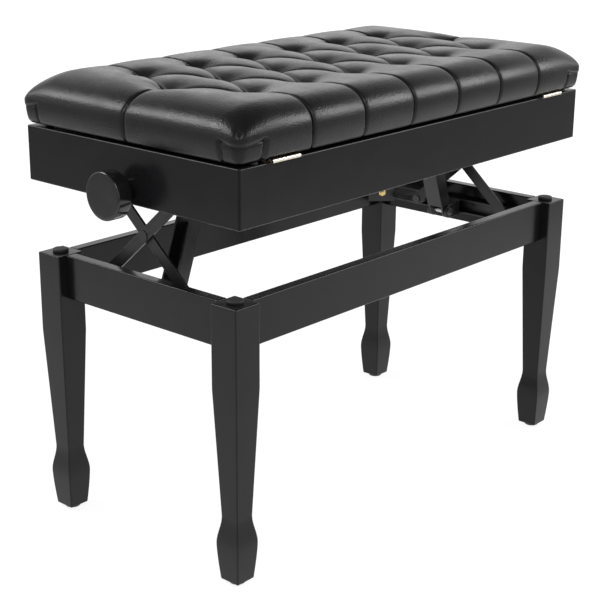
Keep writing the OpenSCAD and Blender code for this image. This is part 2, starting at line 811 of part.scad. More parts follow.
// Faces of a top grid whose first point has an index. Each cell of the tufting is cut
// along its crease: from its low to its high corner where i + j is even, and the other
// way where it is odd.
function crease_rises(i, j) =
    let (xs = grid_lines(skin_x(0), lattice), ys = grid_lines(skin_y(0), cross_lattice),
         cells = floor((xs[i] + xs[i + 1]) / 2 / half_step)
               + floor((ys[j] + ys[j + 1]) / 2 / row_gap))
    cells % 2 == 0;
function top_faces(first, up) =
    [for (j = [0:ny - 2]) for (i = [0:nx - 2])
        let (low = first + at(i, j), right = first + at(i + 1, j),
             far = first + at(i, j + 1), high = first + at(i + 1, j + 1),
             pair = crease_rises(i, j) ? [[low, far, high], [low, high, right]]
                                       : [[low, far, right], [right, far, high]])
        for (f = pair) up ? f : [f[2], f[1], f[0]]];

// Closed solid under a top skin: a chain of rings leads from its rim down the outside,
// and ends in an inner skin or, where there is none, in a flat face
module skin_solid(outer, rings, inner) {
    n = len(rim);
    first_ring = nx * ny;
    first_inner = first_ring + len(rings) * n;
    flat = len(inner) == 0;
    middle = [0, 0, rings[len(rings) - 1][0][2]];
    points = concat(outer, [for (ring = rings) each ring], flat ? [middle] : inner);
    last = len(rings) + (flat ? 0 : 1);
    function link(c, k) =
        c == 0 ? at(rim[k % n][0], rim[k % n][1]) :
        c > len(rings) ? first_inner + at(rim[k % n][0], rim[k % n][1]) :
        first_ring + (c - 1) * n + k % n;
    polyhedron(points = points, faces = concat(
        top_faces(0, true),
        [for (c = [0:last - 1]) for (k = [0:n - 1])
            each [[link(c + 1, k), link(c, k), link(c, k + 1)],
                  [link(c + 1, k), link(c, k + 1), link(c + 1, k + 1)]]],
        flat ? [for (k = [0:n - 1]) [link(last, k), link(last, k + 1), first_inner]]
             : top_faces(first_inner, false)));
}

module seat_foam() {
    t = cover_t + slide;
    color(bare_wood) skin_solid(
        skin_top(t),
        [for (height = [wall_shares[0] * wall_h, lid_t + slide]) wall_ring(t, height)],
        []);
}

module seat_cover() {
    over_board = lid_t + slide / 2;
    color(leather) skin_solid(
        skin_top(0),
        concat(
            [for (share = wall_shares) wall_ring(0, share * wall_h)],
            [for (height = [0, over_board])
                [for (p = wall_ring(cover_t, 0)) [p[0], p[1], lid_z + height]]],
            [for (height = [over_board, wall_shares[0] * wall_h])
                wall_ring(cover_t, height)]),
        skin_top(cover_t));
}

// ---------- spindle, knobs, nuts and drive links ----------

module spindle() {
    color(steel_black) translate([0, 0, spindle_z]) along_x(spindle_r, -spindle_end, spindle_end);
}

module knob(right) {
    rim = knob_d / 2;
    color(knob_black) at_end(right) translate([-knob_x, 0, spindle_z]) rotate([0, -90, 0])
        difference() {
            union() {
                rotate_extrude() polygon([
                    [0, 0], [rim - 1.5, 0], [rim, 1.5], [rim, knob_t - knob_edge],
                    [rim - knob_edge * 0.3, knob_t - knob_edge * 0.3],
                    [rim - knob_edge, knob_t], [0, knob_t]]);
                translate([0, 0, -hub_l]) cylinder(r = hub_r, h = hub_l + end);
            }
            translate([0, 0, -hub_l - end])
                cylinder(r = spindle_r, h = hub_l + knob_t - knob_cap + end);
        }
}

module spindle_collars() {
    color(steel_black) for (right = [false, true]) at_end(right)
        translate([-track_x + bush_flange_t + slide, 0, spindle_z]) difference() {
            along_x(collar_r, 0, collar_l);
            along_x(spindle_r, -end, collar_l + end);
        }
}

// Threaded block with a trunnion on each side
module drive_nut(right) {
    color(steel_black) at_end(right) translate([-nut_at, 0, spindle_z]) difference() {
        union() {
            translate([-nut_l / 2, -nut_w / 2, -nut_h / 2]) cube([nut_l, nut_w, nut_h]);
            along_y(trunnion_r, -link_in - link_t - 2, link_in + link_t + 2);
        }
        along_x(spindle_r + fit, -nut_l / 2 - end, nut_l / 2 + end);
    }
}

// Channel link from the bracket up to the nut; the slot lets the trunnion run along it
module drive_link(right) {
    pin_hole = trunnion_r + fit;
    slot_r = trunnion_r + 1.9;
    tip = 3.5;                          // steel left around the slot
    web_from = 12;
    web_to = link_len * 0.6;
    color(steel_black) at_end(right) translate([-link_at, 0, link_z])
        rotate([0, -link_angle, 0]) difference() {
            union() {
                for (y = [-link_in - link_t, link_in]) translate([0, y, 0]) {
                    translate([0, 0, -link_w / 2]) cube([link_len, link_t, link_w]);
                    along_y(link_w / 2, 0, link_t);
                    translate([link_len, 0, 0]) along_y(slot_r + tip, 0, link_t);
                }
                translate([web_from, -link_in - link_t, -link_w / 2 - 0.5])
                    cube([web_to - web_from, 2 * (link_in + link_t), link_t]);
            }
            along_y(pin_hole, -link_in - link_t - end, link_in + link_t + end);
            for (x = [link_len - link_slot, link_len]) translate([x, 0, 0])
                along_y(slot_r, -link_in - link_t - end, link_in + link_t + end);
            translate([link_len - link_slot, -link_in - link_t - end, -slot_r])
                cube([link_slot, 2 * (link_in + link_t + end), 2 * slot_r]);
        }
}

// ---------- scissor arms ----------

// Flat bar from the fixed-pivot side towards -Y, rising at an angle, with a pin hole
// at each end and one in the middle
module arm_bar(x_face, z0, angle) {
    translate([-x_face, pivot_y, z0]) rotate([-angle, 0, 0]) difference() {
        union() {
            translate([0, -arm_len, -arm_w / 2]) cube([arm_t, arm_len, arm_w]);
            for (y = [0, -arm_len]) translate([0, y, 0]) along_x(arm_w / 2, 0, arm_t);
        }
        for (share = [0, 0.5, 1]) translate([0, -arm_len * share, 0])
            along_x(pin_r + fit, -end, arm_t + end);
    }
}

module outer_arm(right) {
    color(steel_black) at_end(right)
        arm_bar(outer_arm_x, pivot_z, arm_angle);
}

module inner_arm(right) {
    color(steel_black) at_end(right)
        arm_bar(inner_arm_x, upper_z, -arm_angle);
}

// Rivet through both arms where they cross
module arm_rivet(right) {
    inner_face = -(inner_arm_x - arm_t);
    color(steel_black) at_end(right) translate([0, cross_y, cross_z]) {
        along_x(pin_r, -outer_arm_x - 0.2, inner_face + slide);
        along_x(pin_r + 3, -outer_arm_x - 0.9, -outer_arm_x - 0.1);
        along_x(pin_r + 3, inner_face + slide, inner_face + slide + 1.5);
    }
}

// Shoulder pin at the top of the inner arm, which rides in the slotted bracket
module upper_pin(right) {
    arm_face = -(inner_arm_x - arm_t);
    color(steel_black) at_end(right) translate([0, pivot_y, upper_z]) {
        along_x(pin_r, -track_x + slide, arm_face + 0.2);
        along_x(pin_r + 3, -web_x + slide, -inner_arm_x - 0.1);
        along_x(pin_r + 2, arm_face + 0.1, arm_face + 1.3);
    }
}

// Roller on its axle; x_arm is the inner face of the arm that carries the axle
module roller(x_arm, y, z) {
    x_out = -web_x + 1;
    translate([0, y, z]) {
        along_x(pin_r, x_out, x_arm + 0.2);
        along_x(roller_d / 2, x_out, x_out + roller_l);
        along_x(pin_r + 2, x_arm + 0.1, x_arm + 1.5);
    }
}

module upper_roller(right) {
    color(steel_black) at_end(right) roller(-(outer_arm_x - arm_t), slide_y, upper_z);
}

module lower_roller(right) {
    color(steel_black) at_end(right) roller(-(inner_arm_x - arm_t), slide_y, pivot_z);
}

leg(-1, 1);  // leg_front_left
leg(1, 1);  // leg_front_right
leg(-1, -1);  // leg_rear_left
leg(1, -1);  // leg_rear_right
long_apron(1);  // apron_front
long_apron(-1);  // apron_rear
short_apron(false);  // apron_left
short_apron(true);  // apron_right
foot_glides();
leg_top_bumpers();
corner_brackets();
corner_bolts();
corner_nuts();
corner_bracket_screws();
lower_track(false);  // left_lower_track
lower_track(true);  // right_lower_track
lower_track_screws();
lower_pivot_pins();
link_brackets();
link_pivot_pins();
box_long_board(1);  // box_front
box_long_board(-1);  // box_rear
box_end_board(false);  // box_left
box_end_board(true);  // box_right
storage_panel();
end_cleats();
upper_track(false);  // left_upper_track
upper_track(true);  // right_upper_track
upper_pivot_brackets();
upper_track_screws();
spindle_bushes();
hinge_leaves(false);  // hinge_box_leaves
hinge_screws(false);  // hinge_box_screws
hinge_pins();
lid_rest_pads();
lid_board();
seat_foam();
seat_cover();
hinge_leaves(true);  // hinge_lid_leaves
hinge_screws(true);  // hinge_lid_screws
spindle();
knob(false);  // left_knob
knob(true);  // right_knob
spindle_collars();
drive_nut(false);  // left_nut
drive_nut(true);  // right_nut
drive_link(false);  // left_drive_link
drive_link(true);  // right_drive_link
outer_arm(false);  // left_outer_arm
inner_arm(false);  // left_inner_arm
outer_arm(true);  // right_outer_arm
inner_arm(true);  // right_inner_arm
arm_rivet(false);  // left_arm_rivet
arm_rivet(true);  // right_arm_rivet
upper_pin(false);  // left_upper_pin
upper_pin(true);  // right_upper_pin
upper_roller(false);  // left_upper_roller
lower_roller(false);  // left_lower_roller
upper_roller(true);  // right_upper_roller
lower_roller(true);  // right_lower_roller
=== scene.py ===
"""Looks of the adjustable piano bench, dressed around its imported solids.

The file is laid out as a Blender add-on and is run as a script: main() registers the
classes and calls one operator for each group of pieces. Lengths are in metres, in the
frame of the solids: X runs along the bench, Y across it, Z up from the floor.
"""
import json
import math

import bmesh
import bpy
import numpy as np
from bpy.props import FloatProperty, FloatVectorProperty, PointerProperty
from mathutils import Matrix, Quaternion, Vector


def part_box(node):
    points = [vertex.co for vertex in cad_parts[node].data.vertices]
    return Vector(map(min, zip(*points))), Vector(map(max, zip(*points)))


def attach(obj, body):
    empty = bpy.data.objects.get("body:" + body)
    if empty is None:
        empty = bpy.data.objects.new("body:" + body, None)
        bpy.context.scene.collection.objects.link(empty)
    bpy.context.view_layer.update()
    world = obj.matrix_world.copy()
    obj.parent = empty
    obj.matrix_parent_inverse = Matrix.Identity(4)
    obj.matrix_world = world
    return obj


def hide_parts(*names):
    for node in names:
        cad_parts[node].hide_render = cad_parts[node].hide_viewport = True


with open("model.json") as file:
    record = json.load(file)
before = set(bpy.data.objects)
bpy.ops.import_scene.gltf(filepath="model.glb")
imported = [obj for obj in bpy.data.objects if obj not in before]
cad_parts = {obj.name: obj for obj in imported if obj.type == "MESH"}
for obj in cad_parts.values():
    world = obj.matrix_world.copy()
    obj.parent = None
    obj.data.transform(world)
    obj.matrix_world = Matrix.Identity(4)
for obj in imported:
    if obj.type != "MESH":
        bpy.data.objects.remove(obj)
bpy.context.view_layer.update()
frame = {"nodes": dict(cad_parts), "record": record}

bl_info = {
    "name": "Piano bench looks",
    "version": (1, 0, 0),
    "blender": (4, 5, 0),
    "location": "3D View > Sidebar > Bench",
    "description": "Leather, lacquer and metal looks of an adjustable piano bench",
    "category": "Object",
}

MM = 0.001


# ---------- sizes and colours ----------

def length(name, description, default):
    """A length property in metres."""
    return FloatProperty(name=name, description=description, default=default, min=0.0,
                         unit="LENGTH", subtype="DISTANCE")


def colour(name, description, default):
    """A linear colour property."""
    return FloatVectorProperty(name=name, description=description, default=default,
                               size=3, min=0.0, max=1.0, subtype="COLOR")


class BenchSeatSizes(bpy.types.PropertyGroup):
    """Form and colour of the tufted seat"""
    tuft_step: length("Tuft step", "Distance between tufts of a row", 93 * MM)
    row_gap: length("Row gap", "Distance between the rows of tufts", 92 * MM)
    side_out: length("Side bow", "How far the long sides stand proud of the box", 10 * MM)
    end_out: length("End bow", "How far the ends stand proud of the box", 5 * MM)
    corner_in: length("Corner tuck", "How far the long sides draw in at corners", 6 * MM)
    crown: length("Crown", "Height of the untufted seat over its foot", 62 * MM)
    wall: length("Wall", "Height of the widest line of the side over its foot", 30 * MM)
    shoulder: length("Shoulder", "Width of the top's rise from a long side", 44 * MM)
    end_shoulder: length("End shoulder", "Width of the top's rise from an end", 68 * MM)
    puff: length("Puff", "Depth of the valleys between the padded fields", 9 * MM)
    pull: length("Pull", "Extra depth of a tuft", 8 * MM)
    pull_width: length("Pull width", "Reach of a tuft's dip", 20 * MM)
    crease: length("Crease", "Depth of the sharp fold between two fields", 4.6 * MM)
    leather: colour("Leather", "Colour of the seat leather", (0.0062, 0.0060, 0.0066))


class BenchWoodSizes(bpy.types.PropertyGroup):
    """Form and colour of the lacquered wood"""
    edge: length("Edge radius", "Rounding of the wooden edges", 1.6 * MM)
    box_corner: length("Box corner radius", "Rounding of the box's upright edges", 3 * MM)
    foot_top: length("Neck height", "Height of the neck above the floor", 88 * MM)
    foot_wide: length("Flare height", "Height of the foot's widest part", 52 * MM)
    taper_top: length("Taper height", "Height at which the taper starts", 250 * MM)
    neck: length("Neck", "Side of the leg at its neck", 26.5 * MM)
    flare: length("Flare", "Side of the leg at the foot's widest part", 36 * MM)
    tip: length("Tip", "Side of the leg at its tip", 28.5 * MM)
    lacquer: colour("Lacquer", "Colour of the lacquer", (0.0088, 0.0084, 0.0093))
    board: colour("Panel", "Colour of the storage panel", (0.025, 0.024, 0.024))


class BenchMetalSizes(bpy.types.PropertyGroup):
    """Form and colour of the metalwork"""
    edge: length("Edge break", "Bevel of the steel edges", 0.5 * MM)
    pitch: length("Thread pitch", "Distance between turns of the spindle thread", 4 * MM)
    thread: length("Thread depth", "Depth of the spindle thread", 1.2 * MM)
    steel: colour("Black steel", "Colour of the scissor frames", (0.040, 0.040, 0.042))
    bright: colour("Bright steel", "Colour of the pins", (0.42, 0.42, 0.43))
    brass: colour("Brass", "Colour of the lid hinges", (0.74, 0.67, 0.55))
    bronze: colour("Bronze", "Colour of the spindle's bushes", (0.60, 0.44, 0.24))
    zinc: colour("Yellow zinc", "Colour of the corner bolts", (0.72, 0.56, 0.24))
    knob: colour("Knob", "Colour of the knobs", (0.008, 0.008, 0.0085))
    nylon: colour("Nylon", "Colour of the rollers", (0.06, 0.06, 0.06))
    rubber: colour("Rubber", "Colour of glides and bumpers", (0.018, 0.018, 0.018))


# ---------- meshes from arrays ----------

KEEN = 0.02             # share of an edge's radius that is left at the very end of a bar


def mesh_piece(name, points, faces, close=False):
    """Object from an (n, 3) array of points and a list of index arrays, each (k, 3) or
    (k, 4). An open rim is closed by one flat face if asked, and faces turn outwards."""
    mesh = bpy.data.meshes.new(name)
    mesh.from_pydata(points.tolist(), [], [f for block in faces for f in block.tolist()])
    mesh.validate()
    shell = bmesh.new()
    shell.from_mesh(mesh)
    if close:
        bmesh.ops.holes_fill(shell, edges=shell.edges, sides=0)
    bmesh.ops.recalc_face_normals(shell, faces=shell.faces)
    shell.to_mesh(mesh)
    shell.free()
    mesh.shade_smooth()
    piece = bpy.data.objects.new(name, mesh)
    bpy.context.scene.collection.objects.link(piece)
    return piece


def ring_faces(rings, around):
    """Quads between consecutive rings of points, each ring closed on itself."""
    row, k = np.meshgrid(np.arange(rings - 1), np.arange(around), indexing="ij")
    here, there = row * around + k, row * around + (k + 1) % around
    return np.stack([here, there, there + around, here + around], -1).reshape(-1, 4)


def fan_faces(first, around, centre):
    """Triangles from one ring, whose first point has index first, to a centre point."""
    k = np.arange(around)
    return np.stack([first + k, first + (k + 1) % around, np.full(around, centre)], -1)


def skin_arrays(rings):
    """Points and faces of a tube over an (m, n, 3) array of rings, its two ends closed
    by fans about their middles."""
    m, n, _ = rings.shape
    ends = np.stack([rings[0].mean(0), rings[-1].mean(0)])
    points = np.concatenate([rings.reshape(-1, 3), ends])
    faces = [ring_faces(m, n), fan_faces(0, n, m * n), fan_faces((m - 1) * n, n, m * n + 1)]
    return points, faces


def ring_points(axis, along, a, b):
    """Rings about an axis from their place along it and their two other coordinates, in
    the order of the axes. The three broadcast to one value per ring and point."""
    values = [a, b]
    values.insert(axis, along)
    return np.stack(np.broadcast_arrays(*values), -1)


def joined(parts):
    """Several (points, faces) pairs as one."""
    points, faces, base = [], [], 0
    for part_points, part_faces in parts:
        points.append(part_points)
        faces += [block + base for block in part_faces]
        base += len(part_points)
    return np.concatenate(points), faces


def rounded_rectangle(half_a, half_b, radius, steps=5):
    """Outline of a rectangle with round corners: four quarter arcs of the radius, each
    centred one radius inside its corner. The first three may be arrays of one value per
    ring; the result has one more axis for the points and a last one for a and b."""
    half_a, half_b, radius = (np.asarray(v, float)[..., None]
                              for v in (half_a, half_b, radius))
    turn = np.radians(np.linspace([0, 90, 180, 270], [90, 180, 270, 360], steps).T.ravel())
    sign_a = np.repeat([1, -1, -1, 1], steps)
    sign_b = np.repeat([1, 1, -1, -1], steps)
    a = sign_a * (half_a - radius) + radius * np.cos(turn)
    b = sign_b * (half_b - radius) + radius * np.sin(turn)
    return np.stack([a, b], -1)


def end_insets(radius, steps=5):
    """Rounding of a bar's end: along = r (1 - cos t) from the end face and inset =
    r (1 - sin t) from its sides, with t from 0 to 90 degrees."""
    t = np.radians(np.linspace(0, 90, steps))
    return radius * (1 - np.cos(t)), radius * (1 - np.sin(t))


def rounded_bar(low, high, axis, radius):
    """Bar that fills the box from low to high, with all its edges rounded: round-cornered
    rings along the axis, drawn in at both ends along a quarter arc."""
    low, high = np.array(low), np.array(high)
    along, inset = end_insets(radius)
    place = np.concatenate([low[axis] + along, high[axis] - along[::-1]])
    inset = np.concatenate([inset, inset[::-1]])
    middle, half = np.delete([(low + high) / 2, (high - low) / 2], axis, 1)
    corner = np.maximum(radius - inset, radius * KEEN)
    outline = middle + rounded_rectangle(half[0] - inset, half[1] - inset, corner)
    return skin_arrays(ring_points(axis, place[:, None], outline[..., 0], outline[..., 1]))


def turned(profile, centre, axis, around):
    """Surface of revolution: each (height, radius) pair of the profile becomes a circle
    of that radius about the axis, at that height from the centre."""
    height, radius = np.array(profile, float).T[..., None]
    turn = np.linspace(0, 2 * np.pi, around, endpoint=False)
    a, b = np.delete(centre, axis)
    return skin_arrays(ring_points(axis, centre[axis] + height, a + radius * np.cos(turn),
                                   b + radius * np.sin(turn)))


def arc(centre, radius, start, stop, steps=6):
    """Points (height, radius) of a round edge in a turned profile, angles in degrees."""
    t = np.radians(np.linspace(start, stop, steps))
    return [(centre[0] + radius * math.sin(a), centre[1] + radius * math.cos(a)) for a in t]


# ---------- materials ----------

class Nodes:
    """Makes and links the nodes of one tree."""

    def __init__(self, tree):
        self.tree = tree

    def feed(self, socket, value):
        """Links a socket to another node's, or sets its value; a colour is a triple."""
        if isinstance(value, bpy.types.NodeSocket):
            self.tree.links.new(value, socket)
        else:
            socket.default_value = (*value, 1.0) if socket.type == "RGBA" else value

    def node(self, kind, **inputs):
        """A new node. An input's name has _ in place of each space."""
        made = self.tree.nodes.new(kind)
        for name, value in inputs.items():
            self.feed(made.inputs[name.replace("_", " ")], value)
        return made

    def chain(self, kind, *values):
        """A new node whose first inputs are fed in their order."""
        made = self.tree.nodes.new(kind)
        for socket, value in zip(made.inputs, values):
            self.feed(socket, value)
        return made

    def between(self, value, low, high, start=0.3, stop=0.7, shape="LINEAR"):
        """Maps a value from start..stop to low..high."""
        made = self.node("ShaderNodeMapRange", Value=value, From_Min=start, From_Max=stop,
                         To_Min=low, To_Max=high)
        made.interpolation_type = shape
        return made.outputs["Result"]

    def largest(self, first, second):
        """The larger of two values."""
        made = self.chain("ShaderNodeMath", first, second)
        made.operation = "MAXIMUM"
        return made.outputs[0]

    def blend(self, share, first, second, kind="Color"):
        """Mixes two colours, or two numbers where the kind is Float, by a share."""
        made = self.tree.nodes.new("ShaderNodeMix")
        made.data_type = "RGBA" if kind == "Color" else "FLOAT"
        sockets = {socket.identifier: socket for socket in made.inputs}
        for name, value in (("Factor_Float", share), ("A_" + kind, first),
                            ("B_" + kind, second)):
            self.feed(sockets[name], value)
        return next(s for s in made.outputs if s.identifier == "Result_" + kind)


class Finish(Nodes):
    """A Principled material whose colour, roughness and bump vary over the surface."""

    def __init__(self, name, roughness, metallic=0.0, specular=0.5):
        self.slot = name
        self.material = bpy.data.materials.new(name + "_finish")
        self.material.use_nodes = True
        super().__init__(self.material.node_tree)
        self.shader = self.tree.nodes["Principled BSDF"].inputs
        self.shader["Roughness"].default_value = roughness
        self.shader["Metallic"].default_value = metallic
        self.shader["Specular IOR Level"].default_value = specular
        self.place = self.node("ShaderNodeTexCoord").outputs["Object"]
        self.last_bump = None

    def noise(self, scale, detail=4.0, stretch=(1, 1, 1)):
        """Noise of so many cells per metre, drawn out along an axis by a small stretch."""
        mapping = self.node("ShaderNodeMapping", Vector=self.place, Scale=stretch)
        return self.node("ShaderNodeTexNoise", Vector=mapping.outputs[0], Scale=scale,
                         Detail=detail, Roughness=0.55).outputs["Fac"]

    def pebbles(self, scale):
        """Rounded distance to the nearest of so many scattered points per metre."""
        made = self.node("ShaderNodeTexVoronoi", Vector=self.place, Scale=scale)
        made.feature = "SMOOTH_F1"
        return made.outputs["Distance"]

    def attribute(self, name):
        """A value stored with the points of the piece."""
        made = self.tree.nodes.new("ShaderNodeAttribute")
        made.attribute_name = name
        return made.outputs["Fac"]

    def mottle(self, value, base, dark, light):
        """Colours the surface from a darker to a lighter shade of the base by a value."""
        self.feed(self.shader["Base Color"],
                  self.blend(value, scaled(base, dark), scaled(base, light)))

    def roughness(self, value, low, high):
        """Varies the roughness from low to high by a value."""
        self.feed(self.shader["Roughness"], self.between(value, low, high))

    def bump(self, height, depth, strength):
        """Adds relief of the given depth; later calls lie on earlier ones."""
        made = self.node("ShaderNodeBump", Height=height, Distance=depth, Strength=strength)
        if self.last_bump:
            self.feed(made.inputs["Normal"], self.last_bump)
        self.last_bump = made.outputs["Normal"]
        self.feed(self.shader["Normal"], self.last_bump)


def scaled(value, factor):
    """A colour made lighter or darker."""
    return tuple(min(1.0, c * factor) for c in value)


def lacquer_finish(base):
    """Sprayed black lacquer with a faint orange peel."""
    made = Finish("lacquered_wood", 0.22, specular=0.2)
    made.mottle(made.noise(35), base, 0.85, 1.25)
    made.roughness(made.noise(22, 6), 0.17, 0.27)
    made.bump(made.noise(420, 2), 0.04 * MM, 0.35)
    return made


def painted_finish(base):
    """Brushed black paint over coarse wood, for the hidden cleats."""
    made = Finish("painted_cleat", 0.55)
    made.mottle(made.noise(60), base, 0.9, 1.6)
    made.bump(made.noise(180, 5, (1, 0.12, 1)), 0.2 * MM, 0.5)
    return made


def panel_finish(base):
    """Black fibre board: a smooth matt face with fine flecks."""
    made = Finish("panel_board", 0.5)
    made.mottle(made.between(made.noise(900, 3), 0.0, 1.0, 0.45, 0.62), base, 0.75, 1.35)
    made.roughness(made.noise(14), 0.42, 0.58)
    made.bump(made.noise(700, 3), 0.1 * MM, 0.4)
    return made


def lining_finish(base):
    """Black felted lining under the lid: short matted fibres."""
    made = Finish("lid_base", 0.85, specular=0.25)
    fibres = made.noise(700, 6, (1, 0.4, 1))
    made.mottle(fibres, base, 0.8, 2.2)
    made.bump(fibres, 0.3 * MM, 0.7)
    return made


def leather_finish(base):
    """Soft black leather: slow swells, pebbled grain and finer pores, slow changes of
    sheen, and painted shade that darkens the creases, seams, slit and pleat strips."""
    made = Finish("seat_leather", 0.32, specular=0.27)
    field = made.blend(made.noise(18, 3), scaled(base, 0.85), scaled(base, 1.3))
    # painted shade: the fold attribute darkens the colour to a tenth of the base in
    # creases, seams, the slit and the corner strips, where shade falls
    made.feed(made.shader["Base Color"],
              made.blend(made.attribute("fold"), field, scaled(base, 0.1)))
    made.roughness(made.noise(30, 5), 0.25, 0.36)
    made.bump(made.noise(60, 2), 0.6 * MM, 0.3)
    made.bump(made.pebbles(560), 0.6 * MM, 0.45)
    made.bump(made.noise(2200, 2), 0.08 * MM, 0.4)
    return made


def steel_finish(name, base, roughness, metallic):
    """Painted or oiled flat steel with a faint rolled texture."""
    made = Finish(name, roughness, metallic)
    made.mottle(made.noise(45, 5), base, 0.8, 1.35)
    made.roughness(made.noise(90, 5), roughness - 0.07, roughness + 0.08)
    made.bump(made.noise(900, 3), 0.05 * MM, 0.5)
    return made


def brass_finish(name, base, roughness=0.24):
    """Rolled brass or bronze, lightly brushed along the bench and dulled in places."""
    made = Finish(name, roughness, 1.0)
    cloud = made.noise(130, 5)
    made.mottle(cloud, base, 0.82, 1.08)
    made.roughness(cloud, roughness - 0.06, roughness + 0.1)
    made.bump(made.noise(2600, 2, (0.05, 1, 1)), 0.03 * MM, 0.5)
    return made


def moulded_finish(name, base, roughness, grain, relief=0.05 * MM):
    """Moulded plastic or rubber with a fine spark-eroded texture."""
    made = Finish(name, roughness, specular=0.45)
    made.mottle(made.noise(80), base, 0.9, 1.2)
    made.roughness(made.noise(60, 4), roughness - 0.05, roughness + 0.06)
    made.bump(made.noise(grain, 2), relief, 0.5)
    return made


FINISHES = {}           # the material of each slot


def make_finishes(scene):
    """Makes every finish and files it under its material slot."""
    seat, wood, metal = scene.bench_seat, scene.bench_wood, scene.bench_metal
    made = [
        lacquer_finish(wood.lacquer), painted_finish(wood.lacquer),
        panel_finish(wood.board), lining_finish(wood.lacquer), leather_finish(seat.leather),
        steel_finish("black_steel", metal.steel, 0.38, 0.6),
        steel_finish("bright_steel", metal.bright, 0.30, 1.0),
        steel_finish("spindle_steel", scaled(metal.bright, 0.7), 0.34, 1.0),
        steel_finish("screw_black", metal.steel, 0.32, 0.7),
        brass_finish("hinge_brass", metal.brass),
        brass_finish("bush_bronze", metal.bronze, 0.4),
        brass_finish("zinc_yellow", metal.zinc, 0.3),
        moulded_finish("knob_plastic", metal.knob, 0.17, 1500, 0.01 * MM),
        moulded_finish("roller_nylon", metal.nylon, 0.45, 900),
        moulded_finish("rubber_black", metal.rubber, 0.62, 1200),
    ]
    FINISHES.update({finish.slot: finish.material for finish in made})


def dress(piece, body, slot, *nodes):
    """Gives a new piece its finish and body, and hides the solids that it stands for."""
    piece.data.materials.clear()
    piece.data.materials.append(FINISHES[slot])
    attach(piece, body)
    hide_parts(*nodes)


def soften_shading(piece):
    """Keeps the flat faces of a rounded piece flat in their shading."""
    piece.modifiers.new("Flat faces", "WEIGHTED_NORMAL").keep_sharp = True


# ---------- tufted seat ----------

